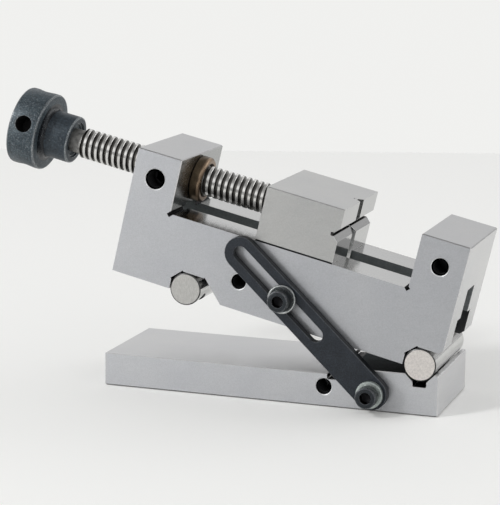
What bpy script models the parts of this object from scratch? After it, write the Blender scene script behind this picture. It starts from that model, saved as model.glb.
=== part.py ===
"""Sine vise: a ground vise body on two rollers, tilted over a base plate and locked by a slotted link.

Metres, +Z up. The origin is the centre of the base plate's underside, +X runs towards the pivot roller.
"""

from math import cos, pi, radians, sin, sqrt

import bmesh
import bpy
from mathutils import Matrix, Vector

# Clearances
SEAT_GAP = 0.0003
THREAD_GAP = 0.0003
SLIDE_GAP = 0.0003
PIN_GAP = 0.00025
CUT_PAST = 0.001

# Sine geometry and set angle
SINE_DISTANCE = 0.100
ROLLER_RADIUS = 0.0065
ROLLER_CHAMFER = 0.0003
TILT = radians(13.0)
WIDTH = 0.048

# Base plate, measured from the pivot axis and the underside
PLATE_LENGTH = 0.140
PIVOT_FROM_END = 0.0075
PLATE_LOW = 0.0135
STEP_RISE = 0.0030
STEP_FROM_PIVOT = 0.0287
RUNOUT_WIDTH = 0.0086
RUNOUT_DEPTH = 0.0021
VEE_RELIEF_WIDTH = 0.0054
VEE_RELIEF_DEPTH = 0.0051
PLATE_HOLE_RADIUS = 0.00325
PLATE_HOLE_DEPTH = 0.012
PLATE_HOLE_HEIGHT = 0.0081
HOLE_STEP = 0.0203
LINK_PIVOT_FROM_PIVOT = 0.0185
LINK_PIVOT_HEIGHT = 0.0080

# Vise body, in its own frame: origin on the pivot roller's axis, +X towards the fixed jaw
BODY_LENGTH = 0.140
BODY_PAST_PIVOT = 0.0078
BODY_BOTTOM = -0.0017
RAIL_TOP = 0.0281
JAW_TOP = 0.0506
BLOCK_LENGTH = 0.019
FIXED_JAW_LENGTH = 0.0198
END_CHAMFER = 0.0019
NOTCH_FACET = 0.0071
NOTCH_RELIEF = 0.0004
LIFT_NOTCH_RUN = 0.0066
CORNER_RELIEF_WIDTH = 0.0017
CORNER_RELIEF_DEPTH = 0.0021
JAW_RELIEF_OFFSET = 0.0004
SLOT_WIDTH = 0.0134
SLOT_CEILING = 0.0297
WIDE_SLOT_WIDTH = 0.0240
WIDE_SLOT_TOP = 0.0181
BODY_HOLE_RADIUS = 0.0031
BODY_HOLE_DEPTH = 0.010
JAW_HOLE_RADIUS = 0.00345
JAW_HOLE_DEPTH = 0.012

# Screws that hold each roller up into its notch
ROLLER_SCREW_PLACE = 0.018
M4_RADIUS = 0.0020
M4_HEAD_RADIUS = 0.0035
M4_HEAD_HEIGHT = 0.0040
M4_SOCKET = 0.0030
ROLLER_HEAD_DEPTH = 0.0009
ROLLER_SCREW_GRIP = 0.0075

# Link, its two lock screws and their washers
LINK_THICKNESS = 0.0040
LINK_WIDTH = 0.0132
LINK_BEVEL = 0.0003
LINK_SLOT_WIDTH = 0.0058
LINK_SLOT_START = 0.0313
LINK_SLOT_END = 0.0752
CLAMP_PLACE = Vector((-0.0588, 0.0, 0.0098))
CLAMP_HOLE_EXTRA = 0.0017
M5_RADIUS = 0.0025
M5_HEAD_RADIUS = 0.00425
M5_HEAD_HEIGHT = 0.0050
M5_SOCKET = 0.0040
PIVOT_WASHER_RADIUS = 0.0054
PIVOT_WASHER_THICKNESS = 0.0020
CLAMP_WASHER_RADIUS = 0.0058
CLAMP_WASHER_THICKNESS = 0.0010
WASHER_CHAMFER = 0.00025
PIVOT_SCREW_GRIP = 0.012
CLAMP_SCREW_GRIP = 0.009

# Spindle, nut and lock screw
SPINDLE_HEIGHT = 0.0399
THREAD_RADIUS = 0.0063
THREAD_LENGTH = 0.0876
NECK_RADIUS = 0.0049
NECK_LENGTH = 0.0045
JOURNAL_RADIUS = 0.0040
JOURNAL_LENGTH = 0.0144
GROOVE_RADIUS = 0.0028
GROOVE_PLACE = 0.0061
STUB_RADIUS = 0.0045
STUB_LENGTH = 0.0165
NUT_RADIUS = 0.0082
NUT_LENGTH = 0.0170
NUT_FLANGE_RADIUS = 0.0094
NUT_FLANGE_THICKNESS = 0.0042
NUT_ROUNDING = 0.0010
M8_RADIUS = 0.0040
LOCK_SCREW_LENGTH = 0.0080
LOCK_SCREW_SOCKET = 0.0040

# Knob
KNOB_RADIUS = 0.01615
KNOB_RIM_WIDTH = 0.0125
KNOB_CHAMFER = 0.0008
HUB_RADIUS = 0.0099
HUB_LENGTH = 0.0120
HUB_FILLET = 0.0016
HUB_RECESS_RADIUS = 0.0076
HUB_RECESS_DEPTH = 0.0012
BAR_HOLE_RADIUS = 0.0033
BAR_HOLE_DEPTH = 0.0088
BAR_HOLES = 4
KNOB_TURN = radians(14.0)
KNOB_SCREW_RADIUS = 0.0025
KNOB_SCREW_LENGTH = 0.0047
KNOB_SCREW_PLACE = 0.0060
KNOB_SCREW_SOCKET = 0.0025

# Movable jaw, its keeper and retaining pins
JAW_LENGTH = 0.0327
JAW_OPENING = 0.0317
VEE_HALF = 0.0028
VEE_SLOT_WIDTH = 0.0014
VEE_SLOT_DEPTH = 0.0014
KEEPER_THICKNESS = 0.0080
KEEPER_BACK_INSET = 0.0024
KEEPER_FACE_INSET = 0.0023
KEEPER_HEAD_SINK = 0.0002
KEEPER_SCREW_PLACES = (0.0093, 0.0203)
KEEPER_SCREW_GRIP = 0.0125
PIN_RADIUS = 0.00125
PIN_LENGTH = 0.0125
PIN_PAST_AXIS = 0.0060

# Shares that every screw has in common
HEAD_EDGE_SHARE = 0.07
SOCKET_DEPTH_SHARE = 0.5
POINT_TAPER = 0.3

# Worked out from the values above
M4_SIZES = (M4_RADIUS, M4_HEAD_RADIUS, M4_HEAD_HEIGHT, M4_SOCKET)
M5_SIZES = (M5_RADIUS, M5_HEAD_RADIUS, M5_HEAD_HEIGHT, M5_SOCKET)
PLATE_HIGH = PLATE_LOW + STEP_RISE
PLATE_RIGHT = PLATE_LENGTH / 2
PIVOT_X = PLATE_RIGHT - PIVOT_FROM_END
PIVOT_Z = PLATE_LOW + SEAT_GAP + ROLLER_RADIUS
FRONT = -WIDTH / 2
BODY_RIGHT = BODY_PAST_PIVOT
BODY_LEFT = BODY_RIGHT - BODY_LENGTH
BLOCK_RIGHT = BODY_LEFT + BLOCK_LENGTH
BLOCK_MIDDLE = BODY_LEFT + BLOCK_LENGTH / 2
FIXED_JAW_FACE = BODY_RIGHT - FIXED_JAW_LENGTH
FIXED_JAW_MIDDLE = BODY_RIGHT - FIXED_JAW_LENGTH / 2
JAW_FACE = FIXED_JAW_FACE - JAW_OPENING
JAW_BACK = JAW_FACE - JAW_LENGTH
SPINDLE_SHOULDER = JAW_BACK - SEAT_GAP
NOTCH_WALL = ROLLER_RADIUS + SEAT_GAP
LINK_BACK = FRONT - SEAT_GAP
LINK_FRONT = LINK_BACK - LINK_THICKNESS
WASHER_BACK = LINK_FRONT - SEAT_GAP

STEEL = ((0.52, 0.52, 0.53), 0.35, 0.9)
POLISHED = ((0.62, 0.62, 0.61), 0.2, 1.0)
BLACK_OXIDE = ((0.035, 0.04, 0.047), 0.45, 0.6)
THREAD_STEEL = ((0.40, 0.40, 0.38), 0.3, 1.0)
BRONZE = ((0.45, 0.28, 0.16), 0.35, 1.0)
ZINC = ((0.55, 0.57, 0.56), 0.3, 1.0)

for stale in list(bpy.data.objects):
    bpy.data.objects.remove(stale, do_unlink=True)

PARTS = bpy.data.collections.new("sine_vise")
CUTTERS = bpy.data.collections.new("cutters")
bpy.context.scene.collection.children.link(PARTS)
bpy.context.scene.collection.children.link(CUTTERS)


# Shared shapes


def material(name, look):
    colour, roughness, metallic = look
    made = bpy.data.materials.new(name)
    made.use_nodes = True
    shader = made.node_tree.nodes["Principled BSDF"]
    shader.inputs["Base Color"].default_value = (*colour, 1.0)
    shader.inputs["Roughness"].default_value = roughness
    shader.inputs["Metallic"].default_value = metallic
    return made


def axis_empty(name, place, parent=None):
    empty = bpy.data.objects.new(name, None)
    empty.empty_display_size = 0.01
    empty.location = place
    empty.parent = parent
    PARTS.objects.link(empty)
    return empty


def part(name, mesh, look, parent):
    made = bpy.data.objects.new(name, mesh)
    mesh.materials.clear()
    mesh.materials.append(material(name, look))
    mesh.shade_smooth()
    mesh.set_sharp_from_angle(angle=radians(30.0))
    made.parent = parent
    PARTS.objects.link(made)
    return made


def cutter(name, mesh, parent):
    made = bpy.data.objects.new(name + "_cutter", mesh)
    made.hide_render = True
    made.display_type = "WIRE"
    made.parent = parent
    CUTTERS.objects.link(made)
    return made


def cut(target, name, meshes):
    """Cut each mesh out of the target; the meshes are in the target's own frame."""
    for index, mesh in enumerate(meshes):
        tool = cutter(f"{target.name}_{name}_{index}", mesh, target)
        modifier = target.modifiers.new(f"{name}_{index}", "BOOLEAN")
        modifier.operation = "DIFFERENCE"
        modifier.solver = "EXACT"
        modifier.object = tool


def bevel(target, width):
    modifier = target.modifiers.new("edges", "BEVEL")
    modifier.width = width
    modifier.segments = 1
    modifier.limit_method = "ANGLE"
    modifier.angle_limit = radians(50.0)


def mesh_from(fill, name):
    mesh = bpy.data.meshes.new(name)
    shape = bmesh.new()
    fill(shape)
    shape.to_mesh(mesh)
    shape.free()
    return mesh


def box(low, high):
    """A box between two corners."""
    low, high = Vector(low), Vector(high)
    size = high - low

    def fill(shape):
        matrix = Matrix.Translation((low + high) / 2) @ Matrix.Diagonal((*size, 1.0))
        bmesh.ops.create_cube(shape, size=1.0, matrix=matrix)

    return mesh_from(fill, "box")


def rod(start, end, radius, sides=32):
    """A closed cylinder from start to end."""
    start, end = Vector(start), Vector(end)
    run = end - start
    turn = Vector((0.0, 0.0, 1.0)).rotation_difference(run).to_matrix().to_4x4()
    matrix = Matrix.Translation((start + end) / 2) @ turn

    def fill(shape):
        bmesh.ops.create_cone(
            shape,
            cap_ends=True,
            segments=sides,
            radius1=radius,
            radius2=radius,
            depth=run.length,
            matrix=matrix,
        )

    return mesh_from(fill, "rod")


def curve_mesh(curve):
    """The closed mesh of a curve, with its caps welded on."""
    holder = bpy.data.objects.new("outline", curve)
    bpy.context.scene.collection.objects.link(holder)
    graph = bpy.context.evaluated_depsgraph_get()
    mesh = bpy.data.meshes.new_from_object(holder.evaluated_get(graph))
    bpy.data.objects.remove(holder, do_unlink=True)
    shape = bmesh.new()
    shape.from_mesh(mesh)
    bmesh.ops.remove_doubles(shape, verts=shape.verts, dist=1e-6)
    bmesh.ops.recalc_face_normals(shape, faces=shape.faces)
    shape.to_mesh(mesh)
    shape.free()
    return mesh


def plate(outlines, thickness, turn=Matrix.Rotation(pi / 2, 4, "X")):
    """A flat plate from closed outlines; as it is turned, outline x is X and outline y is Z."""
    curve = bpy.data.curves.new("outline", "CURVE")
    curve.dimensions = "2D"
    curve.fill_mode = "BOTH"
    curve.extrude = thickness / 2
    for outline in outlines:
        spline = curve.splines.new("POLY")
        spline.points.add(len(outline) - 1)
        for point, (x, y) in zip(spline.points, outline):
            point.co = (x, y, 0.0, 1.0)
        spline.use_cyclic_u = True
    mesh = curve_mesh(curve)
    mesh.transform(turn)
    return mesh


def stadium(start, end, radius, steps=12):
    """The outline of a slot along x with round ends centred at start and end."""
    points = []
    for centre, first in ((end, -pi / 2), (start, pi / 2)):
        for step in range(steps + 1):
            angle = first + pi * step / steps
            points.append((centre + radius * cos(angle), radius * sin(angle)))
    return points


def turned(name, profile, look, parent, sides=48):
    """A solid turned about its own Z axis from (radius, height) points that run top to bottom."""
    mesh = bpy.data.meshes.new(name)
    shape = bmesh.new()
    points = [shape.verts.new((radius, 0.0, height)) for radius, height in profile]
    for first, second in zip(points, points[1:]):
        shape.edges.new((first, second))
    shape.to_mesh(mesh)
    shape.free()
    made = part(name, mesh, look, parent)
    spin = made.modifiers.new("turn", "SCREW")
    spin.axis = "Z"
    spin.steps = sides
    spin.render_steps = sides
    spin.use_merge_vertices = True
    spin.merge_threshold = 0.00001
    spin.use_smooth_shade = True
    return made


def quarter(centre_radius, centre_height, radius, steps=3):
    """A rounded outer edge: (radius, height) points from the top face round to the side."""
    turns = [pi / 2 * (1 - step / steps) for step in range(steps + 1)]
    return [(centre_radius + radius * cos(turn), centre_height + radius * sin(turn)) for turn in turns]


def ring_profile(inner, outer, height, rounding):
    """The closed (radius, height) profile of a washer whose upper rim is chamfered."""
    return [
        (inner, height),
        (outer - rounding, height),
        (outer, height - rounding),
        (outer, 0.0),
        (inner, 0.0),
        (inner, height),
    ]


def hexagon(across, low, high):
    """A hexagonal prism along Z, cut for a key of the given width."""
    return rod((0.0, 0.0, low), (0.0, 0.0, high), across / sqrt(3.0), sides=6)


def cap_screw(name, sizes, grip, look, parent):
    """A socket cap screw: the head's underside is at z 0, the shank runs down to -grip."""
    radius, head_radius, head_height, socket = sizes
    edge = HEAD_EDGE_SHARE * head_height
    socket_floor = head_height * (1 - SOCKET_DEPTH_SHARE)
    profile = [
        (0.0, head_height),
        (head_radius - edge, head_height),
        (head_radius, head_height - edge),
        (head_radius, 0.0),
        (radius, 0.0),
        (radius, radius * POINT_TAPER - grip),
        (radius * (1 - POINT_TAPER), -grip),
        (0.0, -grip),
    ]
    screw = turned(name, profile, look, parent, sides=32)
    cut(screw, "socket", [hexagon(socket, socket_floor, head_height + CUT_PAST)])
    return screw


def grub_screw(name, radius, length, socket, look, parent):
    """A headless screw whose socket end is at z 0 and whose point is at -length."""
    profile = [
        (0.0, 0.0),
        (radius * (1 - HEAD_EDGE_SHARE), 0.0),
        (radius, -radius * HEAD_EDGE_SHARE),
        (radius, radius * POINT_TAPER - length),
        (radius * (1 - POINT_TAPER), -length),
        (0.0, -length),
    ]
    screw = turned(name, profile, look, parent, sides=32)
    cut(screw, "socket", [hexagon(socket, -length * SOCKET_DEPTH_SHARE, CUT_PAST)])
    return screw


# Base plate


def base_plate():
    seat = (ROLLER_RADIUS + SEAT_GAP) * sqrt(2.0)
    vee_half = PLATE_HIGH - (PIVOT_Z - seat)
    relief_half = VEE_RELIEF_WIDTH / 2
    relief_top = PIVOT_Z - seat + relief_half
    relief_floor = PLATE_HIGH - VEE_RELIEF_DEPTH
    step = PIVOT_X - STEP_FROM_PIVOT
    outline = [
        (-PLATE_RIGHT, 0.0),
        (PLATE_RIGHT, 0.0),
        (PLATE_RIGHT, PLATE_HIGH),
        (PIVOT_X + vee_half, PLATE_HIGH),
        (PIVOT_X + relief_half, relief_top),
        (PIVOT_X + relief_half, relief_floor),
        (PIVOT_X - relief_half, relief_floor),
        (PIVOT_X - relief_half, relief_top),
        (PIVOT_X - vee_half, PLATE_HIGH),
        (step, PLATE_HIGH),
        (step, PLATE_LOW - RUNOUT_DEPTH),
        (step - RUNOUT_WIDTH, PLATE_LOW - RUNOUT_DEPTH),
        (step - RUNOUT_WIDTH, PLATE_LOW),
        (-PLATE_RIGHT, PLATE_LOW),
    ]
    base = part("base_plate", plate([outline], WIDTH), STEEL, None)
    link_x = PIVOT_X - LINK_PIVOT_FROM_PIVOT
    spare = (link_x - HOLE_STEP, PLATE_HOLE_HEIGHT, PLATE_HOLE_RADIUS, PLATE_HOLE_DEPTH)
    screw_depth = PIVOT_SCREW_GRIP + SEAT_GAP
    pivot = (link_x, LINK_PIVOT_HEIGHT, M5_RADIUS + THREAD_GAP, screw_depth)
    cut(base, "hole", [side_hole(*spare), side_hole(*pivot)])
    return base


def side_hole(x, z, radius, depth):
    """A blind hole bored into the front face."""
    return rod((x, FRONT - CUT_PAST, z), (x, FRONT + depth, z), radius)


# Vise body and its rollers


def notch(axis_x, run_out):
    """Corner points of a roller notch from its wall's foot to the end of its ceiling."""
    facet = NOTCH_FACET * sqrt(2.0)
    relief = NOTCH_WALL + NOTCH_RELIEF
    wall_top = facet - relief
    return [
        (axis_x - NOTCH_WALL, BODY_BOTTOM),
        (axis_x - NOTCH_WALL, wall_top - NOTCH_RELIEF),
        (axis_x - relief, wall_top),
        (axis_x - wall_top, relief),
        (axis_x - wall_top + NOTCH_RELIEF, NOTCH_WALL),
        (axis_x + run_out, NOTCH_WALL),
    ]


def body_outline():
    """The side of the body, anticlockwise from its lower left corner."""
    lift_end = LIFT_NOTCH_RUN - SINE_DISTANCE
    slope = NOTCH_WALL - BODY_BOTTOM
    tick = NOTCH_RELIEF / sqrt(2.0)
    half = CORNER_RELIEF_WIDTH / sqrt(2.0)
    deep = CORNER_RELIEF_DEPTH / sqrt(2.0)
    notch_end = BODY_RIGHT - END_CHAMFER
    jaw_relief = FIXED_JAW_FACE - JAW_RELIEF_OFFSET
    outline = [(BODY_LEFT, BODY_BOTTOM)]
    outline += notch(-SINE_DISTANCE, LIFT_NOTCH_RUN)
    outline += [
        (lift_end + tick, NOTCH_WALL + tick),
        (lift_end + 2 * tick, NOTCH_WALL),
        (lift_end + 2 * tick + slope, BODY_BOTTOM),
    ]
    outline += notch(0.0, notch_end)
    outline += [
        (BODY_RIGHT, NOTCH_WALL + END_CHAMFER),
        (BODY_RIGHT, JAW_TOP),
        (FIXED_JAW_FACE, JAW_TOP),
        (FIXED_JAW_FACE, RAIL_TOP + half - JAW_RELIEF_OFFSET),
        (jaw_relief + half, RAIL_TOP),
        (jaw_relief, RAIL_TOP - half),
        (jaw_relief - half, RAIL_TOP),
        (BLOCK_RIGHT + half, RAIL_TOP),
        (BLOCK_RIGHT + half - deep, RAIL_TOP - deep),
        (BLOCK_RIGHT - deep, RAIL_TOP - deep + half),
        (BLOCK_RIGHT, RAIL_TOP + half),
        (BLOCK_RIGHT, JAW_TOP),
        (BODY_LEFT, JAW_TOP),
    ]
    return outline


def vise_body(tilt):
    body = part("vise_body", plate([body_outline()], WIDTH), STEEL, tilt)
    left, right = BODY_LEFT - CUT_PAST, BODY_RIGHT + CUT_PAST
    narrow = box((left, -SLOT_WIDTH / 2, 0.0), (right, SLOT_WIDTH / 2, SLOT_CEILING))
    wide_half = WIDE_SLOT_WIDTH / 2
    wide = box((left, -wide_half, BODY_BOTTOM - CUT_PAST), (right, wide_half, WIDE_SLOT_TOP))
    cut(body, "slot", [narrow, wide])
    axis = SPINDLE_HEIGHT
    nut_start = BLOCK_RIGHT - NUT_LENGTH - SEAT_GAP
    thread = rod((left, 0.0, axis), (BLOCK_RIGHT + CUT_PAST, 0.0, axis), THREAD_RADIUS + 2 * THREAD_GAP)
    nut = rod((nut_start, 0.0, axis), (BLOCK_RIGHT + CUT_PAST, 0.0, axis), NUT_RADIUS + SEAT_GAP)
    cut(body, "bore", [thread, nut])
    lock = side_hole(BLOCK_MIDDLE, axis, M8_RADIUS + THREAD_GAP / 2, -FRONT - NUT_RADIUS + SEAT_GAP)
    jaw = side_hole(FIXED_JAW_MIDDLE, axis, JAW_HOLE_RADIUS, JAW_HOLE_DEPTH)
    spare = side_hole(CLAMP_PLACE.x - HOLE_STEP, CLAMP_PLACE.z, BODY_HOLE_RADIUS, BODY_HOLE_DEPTH)
    clamp_depth = CLAMP_SCREW_GRIP + CUT_PAST
    clamp = side_hole(CLAMP_PLACE.x, CLAMP_PLACE.z, M5_RADIUS + CLAMP_HOLE_EXTRA, clamp_depth)
    cut(body, "hole", [lock, jaw, spare, clamp])
    tapped = []
    for x in (-SINE_DISTANCE, 0.0):
        for y in (-ROLLER_SCREW_PLACE, ROLLER_SCREW_PLACE):
            far = ROLLER_RADIUS + ROLLER_SCREW_GRIP + CUT_PAST
            tapped.append(screw_bore(x, y, ROLLER_RADIUS, far, M4_RADIUS + THREAD_GAP))
    cut(body, "tapped", tapped)
    return body


def screw_bore(x, y, near, far, radius):
    """A bore along the roller screws' slanted line, between two distances from the roller's axis."""
    up_left = Vector((-1.0, 0.0, 1.0)).normalized()
    centre = Vector((x, y, 0.0))
    return rod(centre + up_left * near, centre + up_left * far, radius, sides=24)


def roller(name, x, tilt):
    """A roller across the body, bored and counterbored for its two screws."""
    half = WIDTH / 2
    profile = [
        (0.0, half),
        (ROLLER_RADIUS - ROLLER_CHAMFER, half),
        (ROLLER_RADIUS, half - ROLLER_CHAMFER),
        (ROLLER_RADIUS, ROLLER_CHAMFER - half),
        (ROLLER_RADIUS - ROLLER_CHAMFER, -half),
        (0.0, -half),
    ]
    pin = turned(name, profile, POLISHED, tilt, sides=64)
    pin.location = (x, 0.0, 0.0)
    pin.rotation_euler = (pi / 2, 0.0, 0.0)
    stand = Matrix.Rotation(-pi / 2, 4, "X")
    seat = head_seat() - SEAT_GAP
    bores = []
    for y in (-ROLLER_SCREW_PLACE, ROLLER_SCREW_PLACE):
        through = screw_bore(0.0, y, seat - CUT_PAST, ROLLER_RADIUS + CUT_PAST, M4_RADIUS + THREAD_GAP)
        head = screw_bore(0.0, y, -ROLLER_RADIUS - CUT_PAST, seat + SEAT_GAP, M4_HEAD_RADIUS + SEAT_GAP)
        bores += [through, head]
    for mesh in bores:
        mesh.transform(stand)
    cut(pin, "screw", bores)
    return pin


def head_seat():
    """Distance of the roller screw head's underside from the roller's axis, towards the body."""
    return -ROLLER_RADIUS + ROLLER_HEAD_DEPTH + M4_HEAD_HEIGHT


def roller_screws(name, x, tilt):
    """Near and far cap screws that pull a roller up into its notch."""
    grip = ROLLER_RADIUS + ROLLER_SCREW_GRIP - head_seat()
    up_left = Vector((-1.0, 0.0, 1.0)).normalized()
    for side, y in (("near", -ROLLER_SCREW_PLACE), ("far", ROLLER_SCREW_PLACE)):
        screw = cap_screw(f"{name}_{side}", M4_SIZES, grip, BLACK_OXIDE, tilt)
        screw.location = Vector((x, y, 0.0)) + up_left * (head_seat() - SEAT_GAP)
        screw.rotation_euler = (0.0, radians(135.0), 0.0)


# Link and its lock screws


def slotted_link(link_axis):
    """The slotted bar; its own +X runs from the lower pivot along the slot."""
    ends = stadium(0.0, LINK_SLOT_END, LINK_WIDTH / 2)
    slot = stadium(LINK_SLOT_START, LINK_SLOT_END, LINK_SLOT_WIDTH / 2)
    hole = stadium(0.0, 0.0, M5_RADIUS + SEAT_GAP)
    link = part("slotted_link", plate([ends, slot, hole[:-1]], LINK_THICKNESS), BLACK_OXIDE, link_axis)
    link.location = (0.0, (LINK_BACK + LINK_FRONT) / 2, 0.0)
    bevel(link, LINK_BEVEL)
    return link


def washer(name, radius, thickness, look, parent):
    profile = ring_profile(M5_RADIUS + SEAT_GAP, radius, thickness, WASHER_CHAMFER)
    made = turned(name, profile, look, parent, sides=40)
    made.location = (0.0, WASHER_BACK, 0.0)
    made.rotation_euler = (pi / 2, 0.0, 0.0)
    return made


def lock_screw(name, washer_thickness, grip, parent):
    """A cap screw through washer and link, into the face behind them."""
    seat = WASHER_BACK - washer_thickness - SEAT_GAP
    reach = FRONT + grip - seat
    screw = cap_screw(name, M5_SIZES, reach, BLACK_OXIDE, parent)
    screw.location = (0.0, seat, 0.0)
    screw.rotation_euler = (pi / 2, 0.0, 0.0)
    return screw


# Spindle, nut and knob


def along_spindle(made, x):
    """Lay a turned piece on the spindle's line, its own +Z towards the fixed jaw."""
    made.location = (x, 0.0, SPINDLE_HEIGHT)
    made.rotation_euler = (0.0, pi / 2, 0.0)


def screw_nut(tilt):
    """A flanged bush; its flange stands on the block's inner face."""
    bore = THREAD_RADIUS + THREAD_GAP
    flange_top = NUT_FLANGE_THICKNESS + SEAT_GAP
    profile = [
        (bore, flange_top),
        *quarter(NUT_FLANGE_RADIUS - NUT_ROUNDING, flange_top - NUT_ROUNDING, NUT_ROUNDING),
        (NUT_FLANGE_RADIUS, SEAT_GAP),
        (NUT_RADIUS, SEAT_GAP),
        (NUT_RADIUS, -NUT_LENGTH),
        (bore, -NUT_LENGTH),
        (bore, flange_top),
    ]
    nut = turned("screw_nut", profile, BRONZE, tilt)
    along_spindle(nut, BLOCK_RIGHT)
    return nut


def nut_lock_screw(tilt):
    """A headless screw deep in the block's side hole, with its point at the nut."""
    screw = grub_screw("nut_lock_screw", M8_RADIUS - THREAD_GAP / 2, LOCK_SCREW_LENGTH, LOCK_SCREW_SOCKET,
                       BLACK_OXIDE, tilt)
    screw.location = (BLOCK_MIDDLE, -NUT_RADIUS - SEAT_GAP - LOCK_SCREW_LENGTH, SPINDLE_HEIGHT)
    screw.rotation_euler = (pi / 2, 0.0, 0.0)
    return screw


def spindle(screw_axis):
    """The screw: stub in the knob, neck, thread, and a grooved journal in the movable jaw."""
    groove_half = PIN_RADIUS + PIN_GAP
    thread_start = -THREAD_LENGTH
    neck_start = thread_start - NECK_LENGTH - HUB_RECESS_DEPTH
    edge = THREAD_RADIUS - JOURNAL_RADIUS
    profile = [
        (0.0, JOURNAL_LENGTH),
        (JOURNAL_RADIUS - SEAT_GAP, JOURNAL_LENGTH),
        (JOURNAL_RADIUS, JOURNAL_LENGTH - SEAT_GAP),
        (JOURNAL_RADIUS, GROOVE_PLACE + groove_half),
        (GROOVE_RADIUS, GROOVE_PLACE + groove_half),
        (GROOVE_RADIUS, GROOVE_PLACE - groove_half),
        (JOURNAL_RADIUS, GROOVE_PLACE - groove_half),
        (JOURNAL_RADIUS, 0.0),
        (THREAD_RADIUS - edge / 4, 0.0),
        (THREAD_RADIUS, -edge / 4),
        (THREAD_RADIUS, thread_start + THREAD_RADIUS - NECK_RADIUS),
        (NECK_RADIUS, thread_start),
        (NECK_RADIUS, neck_start),
        (STUB_RADIUS, neck_start),
        (STUB_RADIUS, neck_start - STUB_LENGTH + SEAT_GAP),
        (0.0, neck_start - STUB_LENGTH + SEAT_GAP),
    ]
    made = turned("spindle", profile, THREAD_STEEL, screw_axis)
    made.rotation_euler = (0.0, pi / 2, 0.0)
    return made


def knob(screw_axis):
    """The black knob; its own origin is the hub's end face, +Z towards the fixed jaw."""
    rim_right = -HUB_LENGTH
    rim_left = rim_right - KNOB_RIM_WIDTH
    bore = STUB_RADIUS + SEAT_GAP
    bore_end = -HUB_RECESS_DEPTH - SEAT_GAP - STUB_LENGTH
    seat = -HUB_RECESS_DEPTH - SEAT_GAP
    chamfer = KNOB_CHAMFER
    fillet = [
        (HUB_RADIUS + HUB_FILLET * (1 - cos(turn)), rim_right + HUB_FILLET * (1 - sin(turn)))
        for turn in (0.0, pi / 6, pi / 3, pi / 2)
    ]
    profile = [
        (HUB_RECESS_RADIUS, seat),
        (HUB_RECESS_RADIUS, 0.0),
        (HUB_RADIUS - chamfer, 0.0),
        (HUB_RADIUS, -chamfer),
        *fillet,
        (KNOB_RADIUS - chamfer, rim_right),
        (KNOB_RADIUS, rim_right - chamfer),
        (KNOB_RADIUS, rim_left + chamfer),
        (KNOB_RADIUS - chamfer, rim_left),
        (0.0, rim_left),
        (0.0, bore_end),
        (bore, bore_end),
        (bore, seat),
        (HUB_RECESS_RADIUS, seat),
    ]
    made = turned("knob", profile, BLACK_OXIDE, screw_axis, sides=64)
    made.location = (-THREAD_LENGTH - NECK_LENGTH, 0.0, 0.0)
    made.rotation_euler = (0.0, pi / 2, 0.0)
    middle = rim_right - KNOB_RIM_WIDTH / 2
    holes = []
    for index in range(BAR_HOLES):
        turn = KNOB_TURN + index * 2 * pi / BAR_HOLES
        out = Vector((-sin(turn), -cos(turn), 0.0))
        floor = out * (KNOB_RADIUS - BAR_HOLE_DEPTH) + Vector((0.0, 0.0, middle))
        mouth = out * (KNOB_RADIUS + CUT_PAST) + Vector((0.0, 0.0, middle))
        holes.append(rod(floor, mouth, BAR_HOLE_RADIUS, sides=24))
    cross = -KNOB_SCREW_PLACE
    inner = Vector((0.0, STUB_RADIUS, cross))
    outer = Vector((0.0, HUB_RADIUS + CUT_PAST, cross))
    holes.append(rod(inner, outer, KNOB_SCREW_RADIUS + THREAD_GAP, sides=24))
    cut(made, "hole", holes)
    return made


def knob_grub_screw(screw_axis):
    """The headless screw on the far side that pins the knob to the spindle's stub."""
    screw = grub_screw("knob_grub_screw", KNOB_SCREW_RADIUS, KNOB_SCREW_LENGTH, KNOB_SCREW_SOCKET,
                       BLACK_OXIDE, screw_axis)
    place = -THREAD_LENGTH - NECK_LENGTH - KNOB_SCREW_PLACE
    screw.location = (place, STUB_RADIUS + SEAT_GAP + KNOB_SCREW_LENGTH, 0.0)
    screw.rotation_euler = (-pi / 2, 0.0, 0.0)
    return screw


# Movable jaw, in its own frame: origin on the spindle's line at the jaw's back face


def jaw_height(body_height):
    return body_height - SPINDLE_HEIGHT


def vee_cutters():
    """The two crossed V grooves of the clamping face, each with its relief slot."""
    face = JAW_LENGTH + CUT_PAST
    apex = JAW_LENGTH - VEE_HALF
    spread = VEE_HALF + CUT_PAST
    half = VEE_SLOT_WIDTH / 2
    slot_end = apex + half - VEE_SLOT_DEPTH
    outline = [
        (slot_end, -half),
        (apex + half, -half),
        (face, -spread),
        (face, spread),
        (apex + half, half),
        (slot_end, half),
    ]
    across = plate([outline], WIDTH + 2 * CUT_PAST)
    tall = 2 * (JAW_TOP - RAIL_TOP)
    upright = plate([outline], tall + 2 * CUT_PAST, Matrix.Identity(4))
    return [across, upright]


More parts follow.
